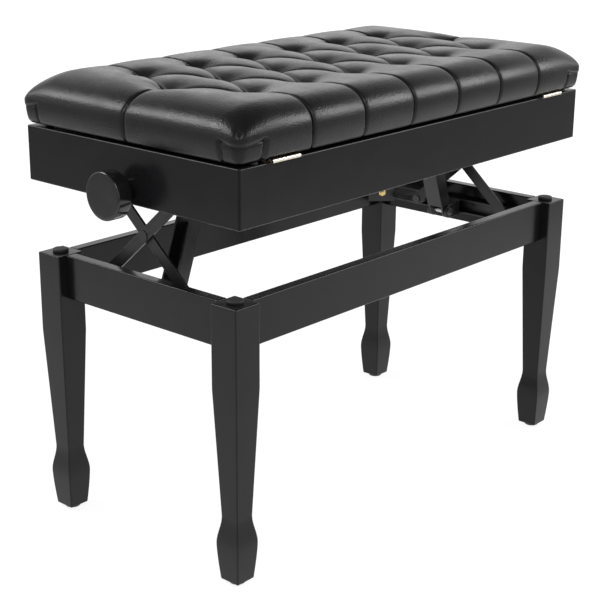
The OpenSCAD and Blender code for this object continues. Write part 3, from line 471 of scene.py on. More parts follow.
class SeatForm:
    """The seat as one skin: a grid over the top, rings down the side wall and in round
    the lid board, where the finished skin is closed. Every point carries its place
    (a, b) in the pattern of tufts, counted in half tuft steps along the seat and in row
    gaps across it."""

    FINE = 14               # grid steps from a tuft to the next crease line
    GATHER = 0.4            # how far the grid lines are drawn towards the creases
    ROOM = 0.85             # grid steps kept free between the flat part and a shoulder
    SHOULDER_STEPS = 17
    WALL_ROWS = 10
    WALL_BULGE = 0.42       # power of the wall's sine section; the smaller, the fuller
    LAST = 6                # place a of the middle row's last tuft; the outer rows' is 5
    CORNER, FOOT_CORNER = 14 * MM, 5 * MM       # corner radii at the rim and at the foot
    FOOT_OUT = 1.6 * MM     # how far the foot stands outside the lid board
    BOARD_OUT = 0.3 * MM    # gap between the skin's inside and the lid board
    TURN_UP = 0.2 * MM      # height of the skin's first ring inside its foot
    FULL, FLAT = 0.46, 0.22     # powers of the fields by slanting and straight creases
    ROWS_TURN, ENDS_TURN = 0.25, 0.5    # reach over which the creases become straight
    CALM = 0.7              # share of the relief that is lost beside straight creases
    RELIEF = 0.8            # share of the valleys' depth that is modelled

    def __init__(self, sizes):
        self.sizes = sizes
        board_low, board_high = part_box("lid_board")
        self.half_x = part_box("box_right")[1].x + sizes.end_out
        self.half_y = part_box("box_front")[1].y + sizes.side_out
        self.foot_x = board_high.x + self.FOOT_OUT
        self.foot_y = board_high.y + self.FOOT_OUT
        self.board_x = board_high.x + self.BOARD_OUT
        self.board_y = board_high.y + self.BOARD_OUT
        self.foot_z = board_low.z
        self.board_top = board_high.z + self.BOARD_OUT

    def lines(self, half, step, width):
        """Grid lines across the top: on the flat part u - k sin(2 pi u) / (2 pi), with u
        in even steps, so that they lie closer near every whole number, and then steps of
        even angle down the elliptical shoulder, d = w (1 - cos t) from the rim."""
        t = np.linspace(0, 90, self.SHOULDER_STEPS, endpoint=False)
        shoulder = half - width * (1 - np.cos(np.radians(t)))
        count = int((half - width) / step * self.FINE - self.ROOM)
        u = np.arange(-count, count + 1) / self.FINE
        flat = (u - self.GATHER * np.sin(2 * np.pi * u) / (2 * np.pi)) * step
        return np.concatenate([-shoulder, flat, shoulder[::-1]])

    @staticmethod
    def rise(d, width):
        """Elliptical shoulder: sqrt(1 - (1 - d / w)^2), level past the width w."""
        return np.sqrt(1 - (1 - np.clip(d / width, 0, 1)) ** 2)

    @staticmethod
    def plan(x, y, half_x, half_y, tuck, corner):
        """Rounds the corners of the rectangle and lets its sides bow out: a point past
        both corner starts moves along its ray onto the arc, and the long sides draw in
        towards the corners with the fourth power of the distance from the middle."""
        s = (np.abs(x) - half_x) / corner + 1
        t = (np.abs(y) - half_y) / corner + 1
        past = (s > 0) & (t > 0)
        k = np.where(past, np.maximum(s, t) / np.maximum(np.hypot(s, t), 1e-9), 1.0)
        x = np.where(past, np.sign(x) * (half_x - corner + s * k * corner), x)
        y = np.where(past, np.sign(y) * (half_y - corner + t * k * corner), y)
        return x, y * (1 - tuck / half_y * (x / half_x) ** 4)

    def skin(self):
        """Points, faces and pattern places of the untufted form, with each point's height
        up the wall, one on the top, and a mark on those round the lid board."""
        s = self.sizes
        xs = self.lines(self.half_x, s.tuft_step / 2, s.end_shoulder)
        ys = self.lines(self.half_y, s.row_gap, s.shoulder)
        x, y = np.meshgrid(xs, ys, indexing="ij")
        top = (self.rise(self.half_x - np.abs(x), s.end_shoulder)
               * self.rise(self.half_y - np.abs(y), s.shoulder))
        z = self.foot_z + s.wall + (s.crown - s.wall) * top
        px, py = self.plan(x, y, self.half_x, self.half_y, s.corner_in, self.CORNER)
        grid = np.stack([px, py, z], -1).reshape(-1, 3)
        label = np.stack([x / (s.tuft_step / 2), y / s.row_gap], -1).reshape(-1, 2)
        index = np.arange(x.size).reshape(x.shape)
        quads = np.stack([index[:-1, :-1], index[1:, :-1], index[1:, 1:],
                          index[:-1, 1:]], -1)
        rim = np.concatenate([index[:-1, 0], index[-1, :-1], index[:0:-1, -1],
                              index[0, :0:-1]])
        rx, ry = x.ravel()[rim], y.ravel()[rim]
        heights = [1 - row / self.WALL_ROWS for row in range(1, self.WALL_ROWS + 1)]
        rings = []
        for share in heights:
            out = math.sin(share * math.pi / 2) ** self.WALL_BULGE
            rings.append(self.ring(rx, ry, self.foot_x + (self.half_x - self.foot_x) * out,
                                   self.foot_y + (self.half_y - self.foot_y) * out,
                                   share * s.wall, out))
        for up in (self.TURN_UP, self.board_top - self.foot_z):
            rings.append(self.ring(rx, ry, self.board_x, self.board_y, up))
        n, first = len(rim), x.size
        points = np.concatenate([grid, *rings])
        labels = np.concatenate([label, *[label[rim]] * len(rings)])
        height = np.concatenate([np.ones(first), np.repeat([*heights, 0.0, 0.0], n)])
        k = np.arange(n)
        step = np.stack([rim, np.roll(rim, -1), first + (k + 1) % n, first + k], -1)
        faces = [quads.reshape(-1, 4), step, ring_faces(len(rings), n) + first]
        inside = np.zeros(len(points))
        inside[first + self.WALL_ROWS * n:] = 1
        return points, faces, labels, height, inside

    def ring(self, rx, ry, wide_x, wide_y, up, out=0.0):
        """The rim drawn in to the given half sides, at a height up from the foot, with the
        tuck and the corner radius of the rim by the share out."""
        x, y = self.plan(rx * wide_x / self.half_x, ry * wide_y / self.half_y,
                         wide_x, wide_y, self.sizes.corner_in * out,
                         self.FOOT_CORNER + (self.CORNER - self.FOOT_CORNER) * out)
        return np.stack([x, y, np.full_like(x, self.foot_z + up)], -1)

    def field(self, a, b):
        """Rise of the padded fields: |cos(pi b) - cos(pi a)| / 2, nought on every crease
        and one in the middle of a field. Past the outer rows b stays at one, which makes
        the creases run straight over the long sides, and past the last tuft a stays at
        the last tuft, which leaves one straight crease on each end."""
        a = np.minimum(np.abs(a), self.LAST)
        b = np.minimum(np.abs(b), 1)
        return np.abs(np.cos(np.pi * b) - np.cos(np.pi * a)) / 2

    def straight(self, a, b):
        """Share of the straight creases: past the outer rows or past the last tuft."""
        past_rows = np.clip((np.abs(b) - 1) / self.ROWS_TURN, 0, 1)
        past_ends = np.clip((np.abs(a) - self.LAST) / self.ENDS_TURN, 0, 1)
        return np.maximum(past_rows, past_ends)

    def tuft_distance(self, a, b):
        """Distance to the nearest tuft, in metres. Tufts lie where a + b is even."""
        row_b = np.clip(np.round(np.abs(b)), 0, 1)
        best = np.full(a.shape, 1.0)
        for row in (row_b, 1 - row_b):
            place = np.where(row == 0, 2 * np.round(a / 2), 2 * np.floor(a / 2) + 1)
            last = np.where(row == 0, self.LAST, self.LAST - 1)
            dx = (a - np.clip(place, -last, last)) * self.sizes.tuft_step / 2
            dy = (np.abs(b) - row) * self.sizes.row_gap
            best = np.minimum(best, np.hypot(dx, dy))
        return best

    def crease_distance(self, a, b):
        """Distance to the nearest crease line, in metres."""
        half_step, gap = self.sizes.tuft_step / 2, self.sizes.row_gap
        lean = half_step * gap / math.hypot(half_step, gap)
        slant = np.minimum(np.abs((a - b + 1) % 2 - 1), np.abs((a + b + 1) % 2 - 1)) * lean
        odd = np.clip(2 * np.floor(a / 2) + 1, 1 - self.LAST, self.LAST - 1)
        upright = np.abs(a - odd) * half_step
        level = np.abs(b) * gap
        distance = np.where(np.abs(b) > 1, upright, slant)
        return np.where((np.abs(a) > self.LAST) & (np.abs(b) <= 1), level, distance)

    def relief(self, a, b, height):
        """How far a point lies under the untufted form: along its normal by the valley
        between two fields, and along Z by a tuft's dip, which falls off as
        exp(-(d / w)^1.6) with the distance d."""
        s = self.sizes
        straight = self.straight(a, b)
        power = self.FULL + (self.FLAT - self.FULL) * straight
        depth = s.puff * (1 - self.field(a, b) ** power)
        fade = np.clip(height, 0, 1) ** 0.8 * (1 - self.CALM * straight)
        dip = s.pull * np.exp(-(self.tuft_distance(a, b) / s.pull_width) ** 1.6)
        return depth * fade * self.RELIEF, dip * np.clip(height, 0, 1)


def read(items, name, width=1, kind=np.float32):
    """A field of every item of a mesh, such as the places of its points, as one row for
    each item, or as one number for each where the width is one."""
    out = np.zeros(len(items) * width, kind)
    items.foreach_get(name, out)
    out = out.astype(float) if kind is np.float32 else out
    return out.reshape(-1, width) if width > 1 else out


def store(mesh, name, values):
    """Keeps a value with every point of a mesh."""
    layer = mesh.attributes.new(name, "FLOAT", "POINT")
    layer.data.foreach_set("value", np.asarray(values, np.float32))


def move(mesh, points):
    """Moves the points of a mesh."""
    mesh.vertices.foreach_set("co", np.asarray(points, np.float32).ravel())
    mesh.update()


CLOTH = {
    "quality": 5, "mass": 0.3, "tension_stiffness": 40, "compression_stiffness": 40,
    "shear_stiffness": 20, "bending_stiffness": 6, "use_pressure": True,
    "uniform_pressure_force": 4, "vertex_group_mass": "hold", "pin_stiffness": 1.0,
}
FRAMES = 20             # length of the simulation
SWELL = 5 * MM          # furthest that it moves a point


def inflate(piece, hold):
    """Lets the leather swell under pressure: a cloth simulation that keeps the points of
    the weight hold, whose result is applied to the mesh."""
    start = read(piece.data.vertices, "co", 3)
    group = piece.vertex_groups.new(name=CLOTH["vertex_group_mass"])
    for level in np.unique(np.round(hold, 1)):
        if level > 0:
            members = np.nonzero(np.round(hold, 1) == level)[0]
            group.add(members.tolist(), float(level), "REPLACE")
    cloth = piece.modifiers.new("Swell", "CLOTH")
    for name, value in CLOTH.items():
        setattr(cloth.settings, name, value)
    cloth.settings.effector_weights.gravity = 0
    cloth.collision_settings.use_collision = False
    cloth.point_cache.frame_start, cloth.point_cache.frame_end = 1, FRAMES
    scene = bpy.context.scene
    for number in range(1, FRAMES + 1):
        scene.frame_set(number)
    shown = piece.evaluated_get(bpy.context.evaluated_depsgraph_get())
    moved = read(shown.data.vertices, "co", 3) - start
    piece.modifiers.remove(cloth)
    scene.frame_set(1)
    far = np.maximum(np.linalg.norm(moved, axis=1), 1e-9)
    move(piece.data, start + moved * np.minimum(1, SWELL / far)[:, None])


def subdivide(piece):
    """Applies one level of subdivision."""
    smooth = piece.modifiers.new("Smooth", "SUBSURF")
    smooth.levels = smooth.render_levels = 1
    graph = bpy.context.evaluated_depsgraph_get()
    mesh = bpy.data.meshes.new_from_object(piece.evaluated_get(graph), depsgraph=graph,
                                           preserve_all_data_layers=True)
    piece.modifiers.remove(smooth)
    old, piece.data = piece.data, mesh
    bpy.data.meshes.remove(old)


def split_along_creases(mesh, a, b):
    """Faces of the skin with the quads between the rows of tufts cut into triangles, so
    that the slanting creases run along edges. In the pattern cell (i, j) the crease joins
    the low and high corners when i + j is even, and the other two when it is odd."""
    if (read(mesh.polygons, "loop_total", kind=np.int64) != 4).any():
        raise RuntimeError("the seat's skin should hold only quads here")
    quads = read(mesh.loops, "vertex_index", kind=np.int64).reshape(-1, 4)
    qa, qb = a[quads], b[quads]
    mid_a, mid_b = qa.mean(1), qb.mean(1)
    slant = (np.abs(mid_b) < 1) & (np.abs(mid_a) < SeatForm.LAST)
    even = (np.floor(mid_a) + np.floor(mid_b)) % 2 == 0
    first = np.where(even, np.argmin(qa + qb, 1), np.argmax(qa - qb, 1))
    turn = (first[:, None] + np.arange(4)) % 4
    chosen = np.take_along_axis(quads, turn, 1)[slant]
    return [quads[~slant], chosen[:, [0, 1, 2]], chosen[:, [0, 2, 3]]]


class BENCH_OT_cushion(bpy.types.Operator):
    """Tufted leather seat: swollen fields between pulled tufts, with sharp creases and
    box-pleated corners"""
    bl_idname = "bench.cushion"
    bl_label = "Seat cushion"

    HELD_CREASE, HELD_TUFT = 5 * MM, 8 * MM     # reach of a crease's and a tuft's hold
    FOLD = 1 * MM               # distance over which a crease's fold fades out
    PINCH = 6 * MM              # reach of a tuft, where the folds are twice as deep
    ON_CREASE = 0.05 * MM       # points nearer to a crease than this lie on it
    PLEAT_LONG, PLEAT_END = 41 * MM, 30 * MM    # reach of a pleat's strip from a corner
    PLEAT_EDGE = 0.05           # share of that reach over which the strip's side fades
    SEAM_WIDTH = 0.045          # width of a seam as a share of that reach
    STRIP_DEPTH, SEAM_DEPTH, SLIT_DEPTH = 0.7 * MM, 4.6 * MM, 2.4 * MM
    STRIP_LOW = 7 * MM          # drop of the strip's upper edge at the corner
    STRIP_RISE = 4 * MM         # rise of that edge towards the seams
    STRIP_LIP = 1.6 * MM        # height over which it fades
    SLIT_LOW, SLIT_WIDTH = 1.5 * MM, 1.7 * MM   # drop of the slit under that edge

    def execute(self, context):
        form = SeatForm(context.scene.bench_seat)
        points, faces, label, height, inside = form.skin()
        piece = mesh_piece("seat_cushion", points, faces)
        mesh = piece.data
        if len(mesh.vertices) != len(points):
            raise RuntimeError("the seat's skin lost points")
        a, b = label[:, 0], label[:, 1]
        depth, dip = form.relief(a, b, height)
        outward = read(mesh.vertex_normals, "vector", 3)
        move(mesh, points - outward * depth[:, None] - np.outer(dip, (0, 0, 1)))
        for name, values in (("a", a), ("b", b), ("height", height), ("inside", inside)):
            store(mesh, name, values)
        inflate(piece, self.held(form, a, b, height, inside))
        subdivide(piece)
        self.cut_creases(piece, form)
        dress(piece, "lid", "seat_leather", "seat_cover", "seat_foam")
        return {"FINISHED"}

    def held(self, form, a, b, height, inside):
        """How firmly each point is held, from 0 to 1: fully at the tufts, round the foot
        and inside, less along the creases, and not in the fields."""
        crease = 1.1 - form.crease_distance(a, b) / self.HELD_CREASE
        tuft = 1.4 - form.tuft_distance(a, b) / self.HELD_TUFT
        return np.maximum.reduce([np.clip(crease, 0, 0.9), np.clip(tuft, 0, 1),
                                  np.clip(1 - height * 3, 0, 1), inside])

    def cut_creases(self, piece, form):
        """Presses the sharp folds and the corner pleats into the swollen skin."""
        mesh = piece.data
        a, b, height, inside = (read(mesh.attributes[name].data, "value")
                                for name in ("a", "b", "height", "inside"))
        points = read(mesh.vertices, "co", 3)
        outward = read(mesh.vertex_normals, "vector", 3)
        skin = inside < 0.5
        crease = form.crease_distance(a, b)
        groove = np.exp(-crease / self.FOLD) * skin * (0.6 + 0.4 * np.clip(height, 0, 1))
        pinch = np.exp(-(form.tuft_distance(a, b) / self.PINCH) ** 2)
        strip, seam, slit = (share * skin for share in self.corner_pleat(points, form))
        depth = (form.sizes.crease * groove * (1 + pinch) * (1 - strip)
                 + self.STRIP_DEPTH * strip + self.SEAM_DEPTH * seam
                 + self.SLIT_DEPTH * slit)
        points = points - outward * depth[:, None]
        points[:, 2] = np.maximum(points[:, 2], form.foot_z)
        made = mesh_piece("seat_skin", points, split_along_creases(mesh, a, b), close=True)
        # the fold attribute is a painted shade mask: it marks the creases, seams, slit and
        # corner strips that the leather finish darkens
        store(made.data, "fold", np.clip(groove * 1.1 + seam + slit + strip * 0.9, 0, 1))
        self.sharpen(made.data, (crease < self.ON_CREASE) & skin)
        piece.data = made.data
        bpy.data.objects.remove(made)
        bpy.data.meshes.remove(mesh)
        piece.data.name = "seat_cushion"

    @staticmethod
    def sharpen(mesh, on_crease):
        """Makes the edges between two points of a crease sharp in the shading."""
        ends = read(mesh.edges, "vertices", 2, np.int64)
        layer = mesh.attributes.get("sharp_edge")
        layer = layer or mesh.attributes.new("sharp_edge", "BOOLEAN", "EDGE")
        layer.data.foreach_set("value", on_crease[ends].all(1))

    def corner_pleat(self, points, form):
        """Depth shares of the strip, of its two seams and of the slit over it, at the four
        upright corners. The strip reaches further along the long sides than along the
        ends, and its upper edge hangs lowest at the corner."""
        along = form.half_x - np.abs(points[:, 0])
        across = form.half_y - form.sizes.corner_in - np.abs(points[:, 1])
        distance = np.clip(np.where(along > across, along / self.PLEAT_LONG,
                                    across / self.PLEAT_END), 0, 3)
        bow = np.clip(distance, 0, 1) ** 2
        up = points[:, 2] - form.foot_z
        edge = form.sizes.wall - self.STRIP_LOW + self.STRIP_RISE * bow
        inner = np.clip((1 - distance) / self.PLEAT_EDGE, 0, 1)
        strip = inner * np.clip((edge - up) / self.STRIP_LIP, 0, 1)
        seam = np.exp(-((distance - 1) / self.SEAM_WIDTH) ** 2)
        seam *= np.clip((edge + 1 * MM - up) / MM, 0, 1)
        slit = inner * np.exp(-((edge - up - self.SLIT_LOW) / self.SLIT_WIDTH) ** 2)
        return strip, seam, slit * (0.1 + 0.9 * bow)


# ---------- wooden base and box ----------

class BENCH_OT_legs(bpy.types.Operator):
    """Four legs: square above, tapered to a neck, with spade feet"""
    bl_idname = "bench.legs"
    bl_label = "Legs"

    FOOT_RINGS, TAPER_RINGS = 34, 6

    @staticmethod
    def half_width(z, sizes, square, foot):
        """Half side of a leg at height z: the square, a straight taper down to the neck,
        a cosine swell to the foot's widest part and a curved taper to the tip."""
        wide, neck_z = sizes.foot_wide, sizes.foot_top
        low = np.clip((z - foot) / (wide - foot), 0, 1)
        tip = sizes.flare - (sizes.flare - sizes.tip) * (1 - low) ** 1.4
        swell = (1 - np.cos(np.pi * np.clip((z - wide) / (neck_z - wide), 0, 1))) / 2
        neck = sizes.flare + (sizes.neck - sizes.flare) * swell
        taper = np.clip((z - neck_z) / (sizes.taper_top - neck_z), 0, 1)
        shaft = sizes.neck + (square - sizes.neck) * taper
        return np.where(z < wide, tip, np.where(z < neck_z, neck, shaft)) / 2

    def execute(self, context):
        sizes = context.scene.bench_wood
        along, inset = end_insets(sizes.edge)
        for name in ("front_left", "front_right", "rear_left", "rear_right"):
            low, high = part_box("leg_" + name)
            foot, square = low.z, high.x - low.x
            z = np.concatenate([
                foot + along,
                np.linspace(foot + sizes.edge, sizes.foot_top, self.FOOT_RINGS)[1:],
                np.linspace(sizes.foot_top, sizes.taper_top, self.TAPER_RINGS)[1:],
                high.z - along[::-1]])
            drawn_in = np.zeros(len(z))
            drawn_in[:len(inset)], drawn_in[-len(inset):] = inset, inset[::-1]
            half = self.half_width(z, sizes, square, foot) - drawn_in
            radius = np.maximum(sizes.edge - drawn_in, sizes.edge * KEEN)
            middle = (low + high) / 2
            outline = rounded_rectangle(half, half, radius) + middle.xy
            rings = ring_points(2, z[:, None], outline[..., 0], outline[..., 1])
            piece = mesh_piece("leg_wood_" + name, *skin_arrays(rings))
            soften_shading(piece)
            dress(piece, "base", "lacquered_wood", "leg_" + name)
        return {"FINISHED"}


class BENCH_OT_aprons(bpy.types.Operator):
    """Four aprons between the legs"""
    bl_idname = "bench.aprons"
    bl_label = "Aprons"

    def execute(self, context):
        edge = context.scene.bench_wood.edge
        for side, axis in (("front", 0), ("rear", 0), ("left", 1), ("right", 1)):
            low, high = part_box("apron_" + side)
            piece = mesh_piece("apron_wood_" + side, *rounded_bar(low, high, axis, edge))
            soften_shading(piece)
            dress(piece, "base", "lacquered_wood", "apron_" + side)
        return {"FINISHED"}


class BENCH_OT_box(bpy.types.Operator):
    """Seat box of four mitred boards with softened edges"""
    bl_idname = "bench.box"
    bl_label = "Seat box"

    PANEL_GROOVE = 5 * MM       # how deep the storage panel sits in the boards
    BUSH_R = 10 * MM            # of the bore for a spindle bush

    def execute(self, context):
        sizes = context.scene.bench_wood
        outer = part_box("box_right")[1]
        thick = outer.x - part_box("storage_panel")[1].x + self.PANEL_GROOVE
        low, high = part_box("box_rear")
        half_x, half_y = outer.x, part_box("box_front")[1].y
        for side in ("front", "rear", "left", "right"):
            rings = self.board(side, half_x, half_y, low.z, high.z, thick, sizes)
            piece = mesh_piece("box_wood_" + side, *skin_arrays(rings))
            if side in ("left", "right"):
                self.bore(piece, "spindle_bushes")
            soften_shading(piece)
            dress(piece, "seat_box", "lacquered_wood", "box_" + side)
        return {"FINISHED"}

    @staticmethod
    def board(side, half_x, half_y, z0, z1, thick, sizes):
        """Rings of one board from mitre to mitre. Each point of the round-cornered
        section follows the box's outline inset by its depth s; near a mitre the outline
        turns through half a corner of radius r - s."""
        section = rounded_rectangle(thick / 2, (z1 - z0) / 2, sizes.edge)
        depth = thick / 2 - section[:, 0]
        height = (z0 + z1) / 2 + section[:, 1]
        radius = np.maximum(sizes.box_corner - depth, 0.05 * MM)
        axis = 0 if side in ("front", "rear") else 1
        half_long, reach = (half_x, half_y) if axis == 0 else (half_y, half_x)
        turn = np.radians(np.linspace(45, 90, 6))[:, None]
        along = half_long - depth - radius + radius * np.cos(turn)
        out = reach - depth - radius + radius * np.sin(turn)
        along = np.concatenate([along, -along[::-1]])
        out = np.concatenate([out, out[::-1]])
        out = out if side in ("front", "right") else -out
        return ring_points(axis, along, out, height)

    def bore(self, piece, node):
        """Cuts the spindle's bush hole through an end board."""
        low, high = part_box(node)
        centre, reach = (0, 0, (low.z + high.z) / 2), high.x * 1.2
        profile = [(-reach, self.BUSH_R), (reach, self.BUSH_R)]
        drill = mesh_piece("drill", *turned(profile, centre, 0, 64))
        cut = piece.modifiers.new("Bore", "BOOLEAN")
        cut.object, cut.operation, cut.solver = drill, "DIFFERENCE", "EXACT"
        shown = piece.evaluated_get(bpy.context.evaluated_depsgraph_get())
        piece.data = bpy.data.meshes.new_from_object(shown)
        piece.modifiers.clear()
        piece.data.shade_smooth()
        bpy.data.objects.remove(drill)


# ---------- turned pieces ----------

class BENCH_OT_knobs(bpy.types.Operator):
    """Two turned knobs with a hub, a rounded back and a flat face"""
    bl_idname = "bench.knobs"
    bl_label = "Knobs"

    AROUND = 96
    HUB, HUB_R = 14 * MM, 13 * MM           # length and radius of the hub
    CHAMFER, FILLET = 0.6 * MM, 1 * MM      # at the hub's two ends
    BACK_R, RIM_R = 4 * MM, 2.2 * MM        # rounding of the disc's back and of its rim
    HOLLOW = 0.15 * MM                      # depth of the face's faint hollow

    def execute(self, context):
        hub, hub_r, back_r, rim_r = self.HUB, self.HUB_R, self.BACK_R, self.RIM_R
        for side, sign in (("left", -1), ("right", 1)):
            low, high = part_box(side + "_knob")
            rim = (high.y - low.y) / 2
            back, face = (high.x, low.x) if sign < 0 else (low.x, high.x)
            deep = abs(face - back)
            profile = [(0, hub_r - self.CHAMFER), (self.CHAMFER, hub_r),
                       (hub - self.FILLET, hub_r), (hub, hub_r + self.FILLET),
                       *arc((hub + back_r, rim - back_r), back_r, -90, 0),
                       *arc((deep - rim_r, rim - rim_r), rim_r, 0, 90, 8),
                       (deep, rim * 0.8), (deep - self.HOLLOW / 1.5, rim * 0.4),
                       (deep - self.HOLLOW, MM)]
            profile = [(sign * h, r) for h, r in profile]
            centre = (low + high) / 2
            centre.x = back
            piece = mesh_piece(side + "_knob_turned",
                               *turned(profile, centre, 0, self.AROUND))
            dress(piece, "spindle", "knob_plastic", side + "_knob")
        return {"FINISHED"}


class BENCH_OT_spindle(bpy.types.Operator):
    """Spindle with a thread of opposite hand on each half"""
    bl_idname = "bench.spindle"
    bl_label = "Spindle"

    AROUND, TURN_STEPS = 24, 8
    RUN_OUT = 6 * MM            # length over which the thread fades out
    STOP = 12 * MM              # from the thread's end to the far end of the collars
    CHAMFER = 0.8 * MM
    LAND, FLANK = 0.15, 0.125   # half the tooth's top and its slope's run, in turns

    def execute(self, context):
        """The radius falls by the thread's depth outside a trapezoid tooth, whose phase
        is |x| / pitch plus the turn, with the hand of the half; it fades out at the ends
        of the thread and in the middle."""
        sizes = context.scene.bench_metal
        low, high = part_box("spindle")
        radius = (high.z - low.z) / 2
        plain, end = high.x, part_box("spindle_collars")[1].x - self.STOP
        x = np.concatenate([[-plain, -plain + self.CHAMFER, -end - 1 * MM],
                            np.arange(-end, end, sizes.pitch / self.TURN_STEPS),
                            [end + 1 * MM, plain - self.CHAMFER, plain]])[:, None]
        turn = np.linspace(0, 1, self.AROUND, endpoint=False)
        phase = (np.abs(x) / sizes.pitch + np.sign(x) * turn) % 1
        tooth = np.clip(1 + (self.LAND - np.abs(phase - 0.5)) / self.FLANK, 0, 1)
        fade = (np.clip((end - np.abs(x)) / self.RUN_OUT, 0, 1)
                * np.clip(np.abs(x) / self.RUN_OUT, 0, 1))
        r = radius - sizes.thread * (1 - tooth) * fade
        r[[0, -1]] = radius - self.CHAMFER
        middle = (low + high) / 2
        rings = ring_points(0, x, middle.y + r * np.cos(2 * np.pi * turn),
                            middle.z + r * np.sin(2 * np.pi * turn))
        piece = mesh_piece("spindle_threaded", *skin_arrays(rings))
        dress(piece, "spindle", "spindle_steel", "spindle")
        return {"FINISHED"}


class BENCH_OT_rubber(bpy.types.Operator):
    """Rubber glides, leg bumpers and lid pads"""
    bl_idname = "bench.rubber"
    bl_label = "Rubber pads"

    @staticmethod
    def corner_discs(name, node, body, size, edge, down=False):
        """Four discs with one rounded rim, one at each corner of a node's box."""
        low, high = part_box(node)
        r, h = size / 2, high.z - low.z
        profile = [(0, r), *arc((h - edge, r - edge), edge, 0, 90), (h, r * 0.3)]
        if down:
            profile = [(h - a, b) for a, b in reversed(profile)]
        parts = [turned(profile, (x, y, low.z), 2, 48)
                 for x in (low.x + r, high.x - r) for y in (low.y + r, high.y - r)]
        dress(mesh_piece(name, *joined(parts)), body, "rubber_black", node)

    def execute(self, context):
        self.corner_discs("glide_pads", "foot_glides", "base", 20 * MM, 1.2 * MM, down=True)
        self.corner_discs("bumper_pads", "leg_top_bumpers", "base", 20 * MM, 1.6 * MM)
        self.corner_discs("lid_pads", "lid_rest_pads", "seat_box", 10 * MM, 0.8 * MM)
        return {"FINISHED"}


# ---------- solids that keep their shape ----------

class BENCH_OT_solids(bpy.types.Operator):
    """Finishes of the solids that are shown as they are"""
    bl_idname = "bench.solids"
    bl_label = "Metalwork and boards"

    WELD = 0.01 * MM            # points nearer than this are one
    SHARP = 50                  # degrees between two faces past which an edge is broken

    def execute(self, context):
        slots = {part["node"]: part["material_slot"]
                 for part in frame["record"]["subparts"]}
        for node, solid in frame["nodes"].items():
            if solid.hide_render:
                continue
            solid.data.materials.clear()
            solid.data.materials.append(FINISHES[slots[node]])
            if slots[node] == "black_steel" and not node.endswith("rivet"):
                solid.modifiers.new("Weld", "WELD").merge_threshold = self.WELD
                bevel = solid.modifiers.new("Edges", "BEVEL")
                bevel.width, bevel.segments = context.scene.bench_metal.edge, 2
                bevel.limit_method, bevel.angle_limit = "ANGLE", math.radians(self.SHARP)
                bevel.harden_normals = True
        return {"FINISHED"}


# ---------- stage ----------

